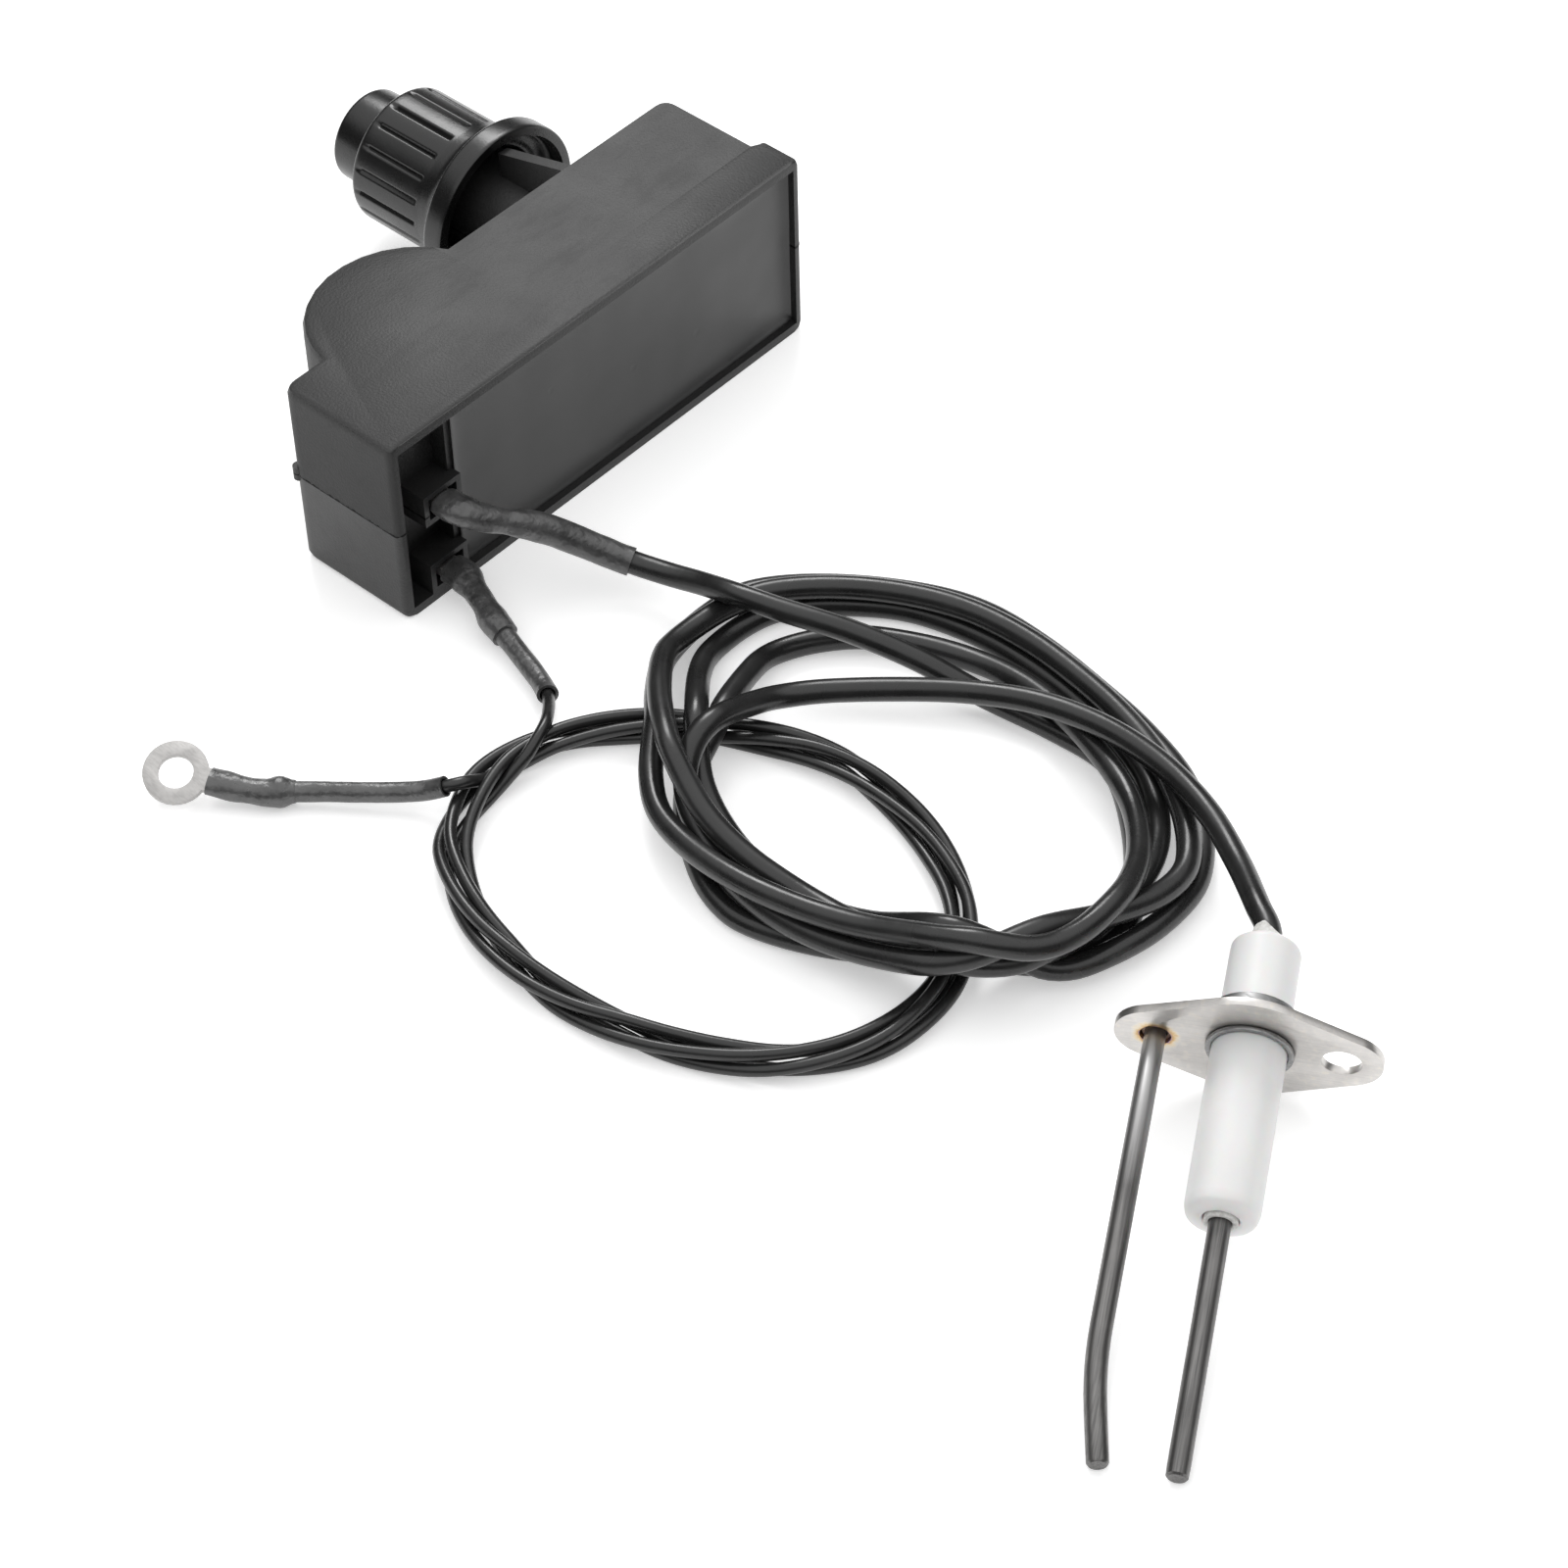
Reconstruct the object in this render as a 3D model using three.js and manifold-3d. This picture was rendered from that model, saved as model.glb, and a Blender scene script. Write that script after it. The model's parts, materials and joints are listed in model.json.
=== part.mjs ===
// Battery-powered spark igniter set: module, high-voltage lead with electrode, earth lead.
// Millimetres, +Z up. The module stands on z = 0 with the centre of its base at the origin.
// Its long side runs along X, its open, resin-filled face looks along -Y and the battery
// neck, cap and push button point along +Y. Both leads lie coiled on z = 0.
import * as THREE from "three";
import { mergeVertices } from "three/addons/utils/BufferGeometryUtils.js";
import Module from "manifold-3d";

const kit = await Module();
kit.setup();

const degrees = (angle) => (angle * Math.PI) / 180;
const vector = (xyz) => new THREE.Vector3(...xyz);

// ---------------------------------------------------------------- materials

function surface(color, roughness, metalness) {
  return new THREE.MeshStandardMaterial({ color, roughness, metalness });
}

const blackPlastic = surface(0x3b3b3c, 0.55, 0);
const capPlastic = surface(0x262627, 0.35, 0);
const resin = surface(0x2e2e30, 0.2, 0);
const leadRubber = surface(0x1c1c1d, 0.4, 0);
const sleevePlastic = surface(0x232324, 0.45, 0);
const boardLaminate = surface(0x3f6b45, 0.6, 0);
const windingCopper = surface(0x9c5a2e, 0.4, 0.8);
const componentPlastic = surface(0x4a4438, 0.5, 0);
const whiteCeramic = surface(0xf1f0ec, 0.35, 0);
const cementGrey = surface(0xb9b7b0, 0.9, 0);
const platedSteel = surface(0xc9c6c0, 0.35, 1);
const rodSteel = surface(0x8f8e8b, 0.4, 1);
const weldMetal = surface(0x7a5a3a, 0.45, 0.9);
const tinnedBrass = surface(0xc4c2bb, 0.4, 0.9);
const springSteel = surface(0xa8a8a6, 0.3, 1);
const cellJacket = surface(0x5b6b7a, 0.35, 0.3);

// ---------------------------------------------------------------- solids

// The triangles of a geometry as a solid that can be joined and cut.
function solid(geometry) {
  const loose = geometry.index ? geometry.toNonIndexed() : geometry;
  const bare = new THREE.BufferGeometry();
  bare.setAttribute("position", loose.getAttribute("position"));
  const welded = mergeVertices(bare, 1e-4);
  const corners = welded.index.array;
  const kept = [];
  for (let i = 0; i < corners.length; i += 3) {
    const [a, b, c] = [corners[i], corners[i + 1], corners[i + 2]];
    if (a !== b && b !== c && c !== a) kept.push(a, b, c);
  }
  const build = (triangles) =>
    new kit.Manifold(
      new kit.Mesh({
        numProp: 3,
        vertProperties: welded.attributes.position.array,
        triVerts: new Uint32Array(triangles),
      }),
    );
  const made = build(kept);
  return made.volume() < 0 ? build(kept.reverse()) : made;
}

function named(name, shape, material) {
  const data = shape.getMesh();
  const geometry = new THREE.BufferGeometry();
  geometry.setAttribute("position", new THREE.BufferAttribute(data.vertProperties, 3));
  geometry.setIndex(new THREE.BufferAttribute(data.triVerts, 1));
  geometry.computeVertexNormals();
  const mesh = new THREE.Mesh(geometry, material);
  mesh.name = name;
  return mesh;
}

// A body of revolution about the Y axis; the profile lists [radius, y].
function turned(profile, segments) {
  const points = profile.map(([radius, y]) => new THREE.Vector2(radius, y));
  return solid(new THREE.LatheGeometry(points, segments));
}

// A ring about the Y axis: a closed rectangle of revolution.
function ring(inner, outer, y0, y1, segments) {
  const profile = [[inner, y0], [outer, y0], [outer, y1], [inner, y1], [inner, y0]];
  return turned(profile, segments);
}

function rod(radius, y0, y1, segments) {
  return turned([[0, y0], [radius, y0], [radius, y1], [0, y1]], segments);
}

// A box given by its low and high corners.
function block(low, high) {
  const size = high.map((value, axis) => value - low[axis]);
  const geometry = new THREE.BoxGeometry(...size);
  geometry.translate(...high.map((value, axis) => (value + low[axis]) / 2));
  return solid(geometry);
}

function prism(shape, z0, z1, arcSteps = 4) {
  const options = { depth: z1 - z0, bevelEnabled: false, curveSegments: arcSteps };
  return solid(new THREE.ExtrudeGeometry(shape, options).translate(0, 0, z0));
}

function moved(shape, x, y, z) {
  return shape.translate([x, y, z]);
}

function joined(...shapes) {
  return shapes.reduce((whole, next) => whole.add(next));
}

// A straight-sided outline whose corners [x, y, radius] are rounded by arcs.
function roundedOutline(corners) {
  const shape = new THREE.Shape();
  const count = corners.length;
  corners.forEach(([x, y, radius], i) => {
    const here = new THREE.Vector2(x, y);
    const before = new THREE.Vector2(...corners[(i + count - 1) % count].slice(0, 2));
    const after = new THREE.Vector2(...corners[(i + 1) % count].slice(0, 2));
    const back = before.sub(here).normalize().multiplyScalar(radius);
    const ahead = after.sub(here).normalize().multiplyScalar(radius);
    const first = here.clone().add(back);
    if (i === 0) shape.moveTo(first.x, first.y);
    else shape.lineTo(first.x, first.y);
    if (radius > 0) shape.quadraticCurveTo(x, y, x + ahead.x, y + ahead.y);
  });
  shape.closePath();
  return shape;
}

// A round or flattened bar along a path of points; sizeAt(0..1) gives its half width and
// half height. The half width stays level.
function swept(path, sides, sizeAt) {
  const up = new THREE.Vector3(0, 0, 1);
  const rings = path.map((point, i) => {
    const behind = path[Math.max(i - 1, 0)];
    const ahead = path[Math.min(i + 1, path.length - 1)];
    const along = ahead.clone().sub(behind).normalize();
    const across = along.clone().cross(up).normalize();
    const over = across.clone().cross(along);
    const [halfWidth, halfHeight] = sizeAt(i / (path.length - 1));
    return Array.from({ length: sides }, (_, k) => {
      const angle = (2 * Math.PI * (k + 0.5)) / sides;
      return point
        .clone()
        .addScaledVector(across, halfWidth * Math.cos(angle))
        .addScaledVector(over, halfHeight * Math.sin(angle));
    });
  });
  const triangles = [];
  const first = path[0];
  const last = path[path.length - 1];
  for (let k = 0; k < sides; k += 1) {
    const next = (k + 1) % sides;
    for (let i = 0; i + 1 < rings.length; i += 1) {
      const [a, b] = [rings[i][k], rings[i][next]];
      const [c, d] = [rings[i + 1][k], rings[i + 1][next]];
      triangles.push(a, b, c, b, d, c);
    }
    triangles.push(first, rings[0][next], rings[0][k]);
    triangles.push(last, rings[rings.length - 1][k], rings[rings.length - 1][next]);
  }
  const numbers = triangles.flatMap((point) => point.toArray());
  const geometry = new THREE.BufferGeometry();
  geometry.setAttribute("position", new THREE.Float32BufferAttribute(numbers, 3));
  return solid(geometry);
}

// ---------------------------------------------------------------- housing

const HEIGHT = 28;
const WALL = 1.3;
const FRONT = -9.4;
const EDGE = 1;
const BULGE = { x: -17, y: 7.1, radius: 13.4 };
const NECK_X = 16.5;
const MIDDLE = HEIGHT / 2;
const NECK_END = 37.1;
const TUBE_BORE = 5.8;
const TUBE_OUTER = 6.9;
const TUBE_FLOOR = -5.4;
const THREAD_PITCH = 1.5;
const POCKET_FLOOR = -5.4;
const POCKET_RIGHT = -26;
const HIGH_TAB = { x: -29.2, z: 14.9 };
const EARTH_TAB = { x: -29.2, z: 3.6 };

// The plan of the moulding, or of the hollow in it when it is drawn smaller by inset. The
// lip of the open face stands a little out past the right-hand end.
const END = 37;
const LIP = 1.7;
const BACK = { left: 9.4, right: 12.7, corner: 2.2 };

function plan(inset, frontY) {
  const radius = BULGE.radius - inset;
  const end = END - inset;
  const right = end - LIP;
  const backLeft = BACK.left - inset;
  const backRight = BACK.right - inset;
  const lipBack = -3 - inset;
  const fromRight = Math.asin((backRight - BULGE.y) / radius);
  const toLeft = Math.PI - Math.asin((backLeft - BULGE.y) / radius);
  const corner = Math.max(BACK.corner - inset, 0.6);
  const shape = new THREE.Shape();
  shape.moveTo(1 - end, frontY);
  shape.lineTo(end - 1, frontY);
  shape.quadraticCurveTo(end, frontY, end, frontY + 1);
  shape.lineTo(end, lipBack - 0.6);
  shape.quadraticCurveTo(end, lipBack, end - 0.6, lipBack);
  shape.lineTo(right, lipBack + 0.6);
  shape.lineTo(right, backRight - corner);
  shape.quadraticCurveTo(right, backRight, right - corner, backRight);
  shape.absarc(BULGE.x, BULGE.y, radius, fromRight, toLeft, false);
  shape.lineTo(corner - end, backLeft);
  shape.quadraticCurveTo(-end, backLeft, -end, backLeft - corner);
  shape.lineTo(-end, frontY + 1);
  shape.quadraticCurveTo(-end, frontY, 1 - end, frontY);
  return shape;
}

// A solid whose level cross-sections are the given outlines, all with as many points.
function layered(outlines, heights) {
  const levels = outlines.map((points, level) =>
    points.map((point) => new THREE.Vector3(point.x, point.y, heights[level])),
  );
  const triangles = [];
  levels.slice(1).forEach((upper, level) => {
    const lower = levels[level];
    lower.forEach((point, k) => {
      const next = (k + 1) % lower.length;
      triangles.push(point, lower[next], upper[k]);
      triangles.push(lower[next], upper[next], upper[k]);
    });
  });
  const bottom = levels[0];
  const top = levels[levels.length - 1];
  THREE.ShapeUtils.triangulateShape(outlines[0], []).forEach(([a, b, c]) => {
    triangles.push(bottom[a], bottom[c], bottom[b]);
  });
  THREE.ShapeUtils.triangulateShape(outlines[outlines.length - 1], []).forEach(([a, b, c]) => {
    triangles.push(top[a], top[b], top[c]);
  });
  const numbers = triangles.flatMap((point) => point.toArray());
  const geometry = new THREE.BufferGeometry();
  geometry.setAttribute("position", new THREE.Float32BufferAttribute(numbers, 3));
  return solid(geometry);
}

// The walls, roof and floor, with rounded edges and a fine ridge where the mould parts.
function housingShell() {
  const part = MIDDLE;
  const roundings = [1, 0.29, 0, 0, -0.08, -0.08, 0, 0, 0.29, 1];
  const parting = [part - 0.25, part - 0.12, part + 0.12, part + 0.25];
  const heights = [0, 0.29, EDGE, ...parting, HEIGHT - EDGE, HEIGHT - 0.29, HEIGHT];
  const outlines = roundings.map((inset) => plan(inset, FRONT).getPoints(6).slice(0, -1));
  const hollow = prism(plan(WALL, FRONT - 3), WALL, HEIGHT - WALL, 6);
  return layered(outlines, heights).subtract(hollow);
}

// The shallow step in the top over the battery side.
function topStep() {
  const step = 0.3;
  const outline = roundedOutline([
    [-6, -3, 2.5],
    [40, -3, 0],
    [40, 16, 0],
    [-6, 16, 0],
  ]);
  return prism(outline, HEIGHT - step, HEIGHT + 1, 4);
}

// Four fins that taper from the housing to the cap, round the battery tube.
function neckFins() {
  const thickness = 1.6;
  const profile = new THREE.Shape();
  profile.moveTo(5, 12);
  profile.lineTo(13.5, 12);
  profile.lineTo(13.5, 12.8);
  profile.lineTo(10.4, 24.2);
  profile.lineTo(5, 24.2);
  profile.closePath();
  const fin = prism(profile, -thickness / 2, thickness / 2);
  const quarter = [0, 90, 180, 270].map((turn) => fin.rotate([0, turn, 0]));
  return joined(...quarter);
}

// The screw thread at the open end of the neck, a ridge wound four turns round the tube.
function neckThread() {
  const turns = 4;
  const steps = 14;
  const start = 29.4;
  const path = Array.from({ length: turns * steps + 1 }, (_, i) => {
    const angle = (2 * Math.PI * i) / steps;
    const along = start + (THREAD_PITCH * i) / steps;
    return new THREE.Vector3(7 * Math.sin(angle), along, 7 * Math.cos(angle));
  });
  return ridge(path, 0.45);
}

// A four-sided ridge along a winding path about the Y axis.
function ridge(path, half) {
  const offsets = [[1, 0], [0, 1], [-1, 0], [0, -1]];
  const rings = path.map((point) => {
    const outward = new THREE.Vector3(point.x, 0, point.z).normalize();
    return offsets.map(([out, along]) =>
      point
        .clone()
        .addScaledVector(outward, out * half)
        .add(new THREE.Vector3(0, along * half, 0)),
    );
  });
  const triangles = [];
  const end = rings[rings.length - 1];
  rings.slice(1).forEach((after, i) => {
    const before = rings[i];
    offsets.forEach((_, k) => {
      const next = (k + 1) % offsets.length;
      triangles.push(before[k], before[next], after[k]);
      triangles.push(before[next], after[next], after[k]);
    });
  });
  triangles.push(rings[0][0], rings[0][2], rings[0][1]);
  triangles.push(rings[0][0], rings[0][3], rings[0][2]);
  triangles.push(end[0], end[1], end[2], end[0], end[2], end[3]);
  const numbers = triangles.flatMap((point) => point.toArray());
  const geometry = new THREE.BufferGeometry();
  geometry.setAttribute("position", new THREE.Float32BufferAttribute(numbers, 3));
  return solid(geometry);
}

// The recessed floor round the two sockets, and the wall that keeps the resin out of it.
function terminalPocket() {
  const thick = 1.2;
  const floor = block(
    [-36, POCKET_FLOOR, 1],
    [POCKET_RIGHT, POCKET_FLOOR + thick, HEIGHT - 1],
  );
  const wall = block(
    [POCKET_RIGHT - 0.8, FRONT + 1.4, 1],
    [POCKET_RIGHT, POCKET_FLOOR + thick, HEIGHT - 1],
  );
  return joined(floor, wall);
}

// A box round a terminal, from its front y0 to its back y1.
function round(place, halfWidth, halfHeight, y0, y1) {
  const low = [place.x - halfWidth, y0, place.z - halfHeight];
  const high = [place.x + halfWidth, y1, place.z + halfHeight];
  return block(low, high);
}

function socket(place) {
  return round(place, 3.2, 2.4, FRONT, POCKET_FLOOR + 0.5);
}

function socketHole(place) {
  const opening = round(place, 2.4, 1.6, FRONT - 2, POCKET_FLOOR);
  const slot = round(place, 1.2, 0.35, FRONT - 2, 0);
  return joined(opening, slot);
}

// The small nub on the back corner nearest the terminals, at the parting line.
function partingNub() {
  const nub = rod(0.75, -1, 1, 12).rotate([90, 0, 0]);
  return moved(nub, -END + 0.62, BACK.left - 0.62, MIDDLE);
}

function housing() {
  const tube = moved(rod(TUBE_OUTER, TUBE_FLOOR - 1.2, NECK_END, 32), NECK_X, 0, MIDDLE);
  const fins = moved(neckFins(), NECK_X, 0, MIDDLE);
  const thread = moved(neckThread(), NECK_X, 0, MIDDLE);
  const bore = moved(rod(TUBE_BORE, TUBE_FLOOR, NECK_END + 1, 32), NECK_X, 0, MIDDLE);
  const shell = joined(housingShell(), partingNub());
  const body = joined(shell, tube, fins, thread, terminalPocket());
  return joined(body, socket(HIGH_TAB), socket(EARTH_TAB))
    .subtract(bore)
    .subtract(socketHole(HIGH_TAB))
    .subtract(socketHole(EARTH_TAB))
    .subtract(topStep());
}

function potting() {
  const gap = 0.1;
  const low = [POCKET_RIGHT + gap, FRONT + 1.4, WALL + gap];
  const high = [END - WALL - gap, TUBE_FLOOR - 1.3, HEIGHT - WALL - gap];
  return block(low, high);
}

// ---------------------------------------------------------------- inside the module

function circuitBoard() {
  return block([-25, -5.2, 3], [8.4, -4, 25]);
}

// A wound bobbin on the Z axis: two cheeks and the winding between them.
function highVoltageTransformer() {
  const bobbin = turned(
    [[0, 0], [9.5, 0], [9.5, 1.6], [8, 1.6], [8, 18.4], [9.5, 18.4], [9.5, 20], [0, 20]],
    24,
  );
  return moved(bobbin.rotate([90, 0, 0]), BULGE.x, BULGE.y, 4);
}

function chargingCoil() {
  const cheeks = joined(block([0, 0, 0], [9, 9, 1.2]), block([0, 0, 8.8], [9, 9, 10]));
  const winding = block([0.8, 0.8, 1], [8.2, 8.2, 9]);
  return moved(joined(cheeks, winding), -3, -3.8, 3.5);
}

function storageCapacitor() {
  const can = turned([[0, 0], [3.2, 0], [3.5, 0.6], [3.5, 11], [3.1, 11.4], [0, 11.4]], 18);
  return moved(can.rotate([90, 0, 0]), 1, 0, 14.5);
}

function switchingTransistor() {
  const outline = roundedOutline([[5.6, -3.9, 0], [9, -3.9, 0], [9, -1.2, 1.2], [5.6, -1.2, 1.2]]);
  return prism(outline, 22, 26, 3);
}

function tab(place) {
  return round(place, 1.1, 0.25, -9.8, -3);
}

function cell() {
  const front = 41.1;
  const profile = [
    [0, -3.4],
    [4.2, -3.4],
    [5.0, -3.1],
    [5.25, -2.6],
    [5.25, 39.6],
    [4.9, 40.2],
    [1.9, 40.3],
    [1.8, front],
    [0, front],
  ];
  return moved(turned(profile, 24), NECK_X, 0, MIDDLE);
}

// A wound wire about the Y axis whose radius may change along it.
function coil(radiusAt, y0, y1, turns, wire) {
  const steps = 14;
  const count = Math.round(turns * steps);
  const path = Array.from({ length: count + 1 }, (_, i) => {
    const angle = (2 * Math.PI * i) / steps;
    const radius = radiusAt(i / count);
    const along = y0 + ((y1 - y0) * i) / count;
    return new THREE.Vector3(radius * Math.sin(angle), along, radius * Math.cos(angle));
  });
  return ridge(path, wire);
}

function rearContactSpring() {
  const wound = coil((t) => 4.2 - 2.4 * t, TUBE_FLOOR + 0.4, -3.8, 2.5, 0.3);
  return moved(wound, NECK_X, 0, MIDDLE);
}

// A thin strip along the bottom of the battery tube.
function contactStrip() {
  const shape = new THREE.Shape();
  const half = degrees(16);
  shape.absarc(0, 0, 5.68, -Math.PI / 2 - half, -Math.PI / 2 + half, false);
  shape.absarc(0, 0, 5.4, -Math.PI / 2 + half, -Math.PI / 2 - half, true);
  shape.closePath();
  const strip = prism(shape, 0, 38, 4).rotate([-90, 0, 0]);
  return moved(strip.rotate([0, 180, 0]), NECK_X, -1.5, MIDDLE);
}

function returnSpring() {
  return moved(coil(() => 6.3, 37.7, 40.9, 2.5, 0.3), NECK_X, 0, MIDDLE);
}

// ---------------------------------------------------------------- cap and button

const CAP = { back: 24.4, front: 44.1, radius: 9.65, flange: 12.4, bore: 7.75, ribs: 18 };

function ribbedCap() {
  const profile = [
    [11, CAP.back],
    [CAP.flange - 0.4, CAP.back],
    [CAP.flange, CAP.back + 0.5],
    [CAP.flange, CAP.back + 3],
    [CAP.flange - 0.5, CAP.back + 3.5],
    [10.2, CAP.back + 4],
    [9.75, CAP.back + 5.2],
    [CAP.radius, CAP.back + 7],
    [CAP.radius, CAP.front - 1.6],
    [CAP.radius - 0.5, CAP.front - 0.6],
    [CAP.radius - 1.5, CAP.front],
    [6.8, CAP.front],
    [6.8, CAP.front - 1.4],
    [CAP.bore, CAP.front - 1.4],
    [CAP.bore, CAP.back + 2.7],
    [11, CAP.back + 2.7],
    [11, CAP.back],
  ];
  const body = turned(profile, 2 * CAP.ribs);
  const depth = 0.45;
  const inner = CAP.radius - depth;
  const groove = block([-0.3, CAP.back + 7.2, inner], [0.3, CAP.front - 1.2, inner + 2]);
  const grooves = Array.from({ length: CAP.ribs }, (_, i) =>
    groove.rotate([0, (360 / CAP.ribs) * (i + 0.5), 0]),
  );
  return moved(body.subtract(joined(...grooves)), NECK_X, 0, MIDDLE);
}

function pushButton() {
  const front = 50.7;
  const profile = [
    [5.6, 41.5],
    [7.35, 41.5],
    [7.35, 42.5],
    [6.6, 42.5],
    [6.6, front - 1],
    [6.3, front - 0.3],
    [5.6, front],
    [0, front],
    [0, front - 1.4],
    [5.6, front - 1.4],
    [5.6, 41.5],
  ];
  return moved(turned(profile, 32), NECK_X, 0, MIDDLE);
}

function buttonContact() {
  const stem = [[0, 44.4], [1.6, 44.4], [2, 44.8], [2, 47.6]];
  const disc = [[4.8, 48.2], [4.8, 49.2], [0, 49.2]];
  return moved(turned([...stem, ...disc], 18), NECK_X, 0, MIDDLE);
}

// ---------------------------------------------------------------- lead paths

const HIGH_WIRE = 1.5;
const HIGH_CORE = 0.75;
const EARTH_WIRE = 0.78;
const LEAD_GAP = 0.22;
const SAMPLE = 1.5;

// Points every SAMPLE millimetres along a smooth curve through the given stations.
function sampled(stations, step = SAMPLE) {
  const curve = new THREE.CatmullRomCurve3(stations.map(vector), false, "centripetal");
  curve.arcLengthDivisions = 40 * stations.length;
  return curve.getSpacedPoints(Math.round(curve.getLength() / step));
}

// Pushes the strands of a coiled lead apart, and off the lead under it, until they only
// rest on each other. A lead is { points, sizes }, sizes being its radius at each point.
// The first and last few points stay where they are.
function settled(lead, under) {
  const { points, sizes } = lead;
  const shift = points.map(() => new THREE.Vector3());
  const held = 8;
  const free = (i) => i >= held && i < points.length - held;
  for (let round = 0; round < 200; round += 1) {
    const now = points.map((point, i) => point.clone().add(shift[i]));
    for (let i = held; i < now.length - held; i += 1) {
      for (let j = i + 3; j < now.length; j += 1) {
        const apart = sizes[i] + sizes[j] + LEAD_GAP;
        if ((j - i) * SAMPLE < 2.5 * apart) continue;
        const between = now[j].clone().sub(now[i]);
        const distance = between.length();
        if (distance >= apart) continue;
        between.z = between.z * 1.5 + 0.05;
        between.setLength(0.25 * (apart - distance));
        shift[i].sub(between);
        if (free(j)) shift[j].add(between);
      }
      if (!under) continue;
      under.points.forEach((point, k) => {
        const apart = sizes[i] + under.sizes[k] + LEAD_GAP;
        const distance = now[i].distanceTo(point);
        if (distance < apart) shift[i].z += 0.6 * (apart - distance);
      });
    }
    for (let i = held; i < now.length - held; i += 1) {
      const mean = shift[i - 1].clone().add(shift[i + 1]).multiplyScalar(0.5);
      shift[i].lerp(mean, 0.25);
      shift[i].z = Math.max(shift[i].z, sizes[i] - points[i].z);
    }
  }
  return { points: points.map((point, i) => point.clone().add(shift[i])), sizes };
}

// The points of a path that its shape needs: a new one wherever the path has turned by
// bend degrees or run on for the given length.
function thinned(points, bend, length) {
  const last = points.length - 1;
  const kept = [points[0]];
  let start = 0;
  for (let i = 1; i < last; i += 1) {
    const before = points[start + 1].clone().sub(points[start]);
    const after = points[i + 1].clone().sub(points[i]);
    const run = (i - start) * SAMPLE;
    if (before.angleTo(after) < degrees(bend) && run < length) continue;
    kept.push(points[i]);
    start = i;
  }
  return [...kept, points[last]];
}

// The thin lead's bundle: four turns laid round an uneven loop, the strands crossing over
// each other as they go.
const EARTH_LOOP = { x: -46, y: -67, turns: 4, from: 102, to: 98 };
const EARTH_LOOP_RADII = [24, 23.5, 26, 29.6, 29.6, 26, 24.4, 24.8, 29.4, 33.2, 31, 26];

function earthLoopPoint(turn) {
  const count = EARTH_LOOP_RADII.length;
  const place = turn * count;
  const i = Math.floor(place);
  const [a, b, c, d] = [-1, 0, 1, 2].map((k) => EARTH_LOOP_RADII[(i + k + 8 * count) % count]);
  const t = place - i;
  const bend = (2 * a - 5 * b + 4 * c - d) * t * t + (3 * b - a - 3 * c + d) * t * t * t;
  const radius = b + 0.5 * ((c - a) * t + bend);
  const twist = 2 * Math.PI * (2.25 * turn + 0.08 * Math.sin(5 * turn));
  const wide = radius + 1.4 * Math.cos(twist);
  const angle = 2 * Math.PI * turn;
  const height = 1.9 + 1.1 * Math.sin(twist);
  return [EARTH_LOOP.x + wide * Math.cos(angle), EARTH_LOOP.y + wide * Math.sin(angle), height];
}

function earthLoopStations() {
  const first = EARTH_LOOP.from / 360;
  const whole = EARTH_LOOP.turns + (EARTH_LOOP.to - EARTH_LOOP.from) / 360;
  const count = 18 * EARTH_LOOP.turns;
  return Array.from({ length: count + 1 }, (_, i) => earthLoopPoint(first + (whole * i) / count));
}

const RING = { x: -75.4, y: -9.2, z: 3.2, yaw: -62.2, pitch: 6, roll: 21.3 };

// A point on the ring terminal's axis, this far from the middle of its eye.
function onRingAxis(distance) {
  const level = distance * Math.cos(degrees(RING.pitch));
  return [
    RING.x + level * Math.cos(degrees(RING.yaw)),
    RING.y + level * Math.sin(degrees(RING.yaw)),
    RING.z - distance * Math.sin(degrees(RING.pitch)),
  ];
}

const EARTH_START = [
  [EARTH_TAB.x, -9.7, EARTH_TAB.z],
  [EARTH_TAB.x, -11.3, 3.6],
  [-29.3, -12.8, 3.6],
  [-31, -17, 3.1],
  [-32.3, -21, 2.5],
  [-34, -27, 2],
  [-35.9, -32, 2],
  [-38.2, -34.8, 3.2],
  [-42, -37.6, 4.6],
  [-46.5, -38.6, 4],
];
const EARTH_END = [
  [-55.5, -37.5, 3.4],
  [-58, -33.8, 2.1],
  [-61, -29.9, 2],
  [-64.2, -25.7, 2],
  [-67.6, -21.2, 2],
  onRingAxis(10.5),
  onRingAxis(7.5),
  onRingAxis(4.4),
];

const ELECTRODE = { x: -30, y: -134.5, z: 8.86, turn: 119.7, dip: -8.35 };

// A point of the electrode's own frame, which has its origin at the middle of the flange,
// X towards the earth rod and Y along the spark rod, placed in the part's frame.
function electrodePoint(x, y, z) {
  const order = new THREE.Euler(degrees(ELECTRODE.dip), 0, degrees(ELECTRODE.turn), "ZXY");
  const point = new THREE.Vector3(x, y, z).applyEuler(order);
  return point.add(new THREE.Vector3(ELECTRODE.x, ELECTRODE.y, ELECTRODE.z)).toArray();
}

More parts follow.
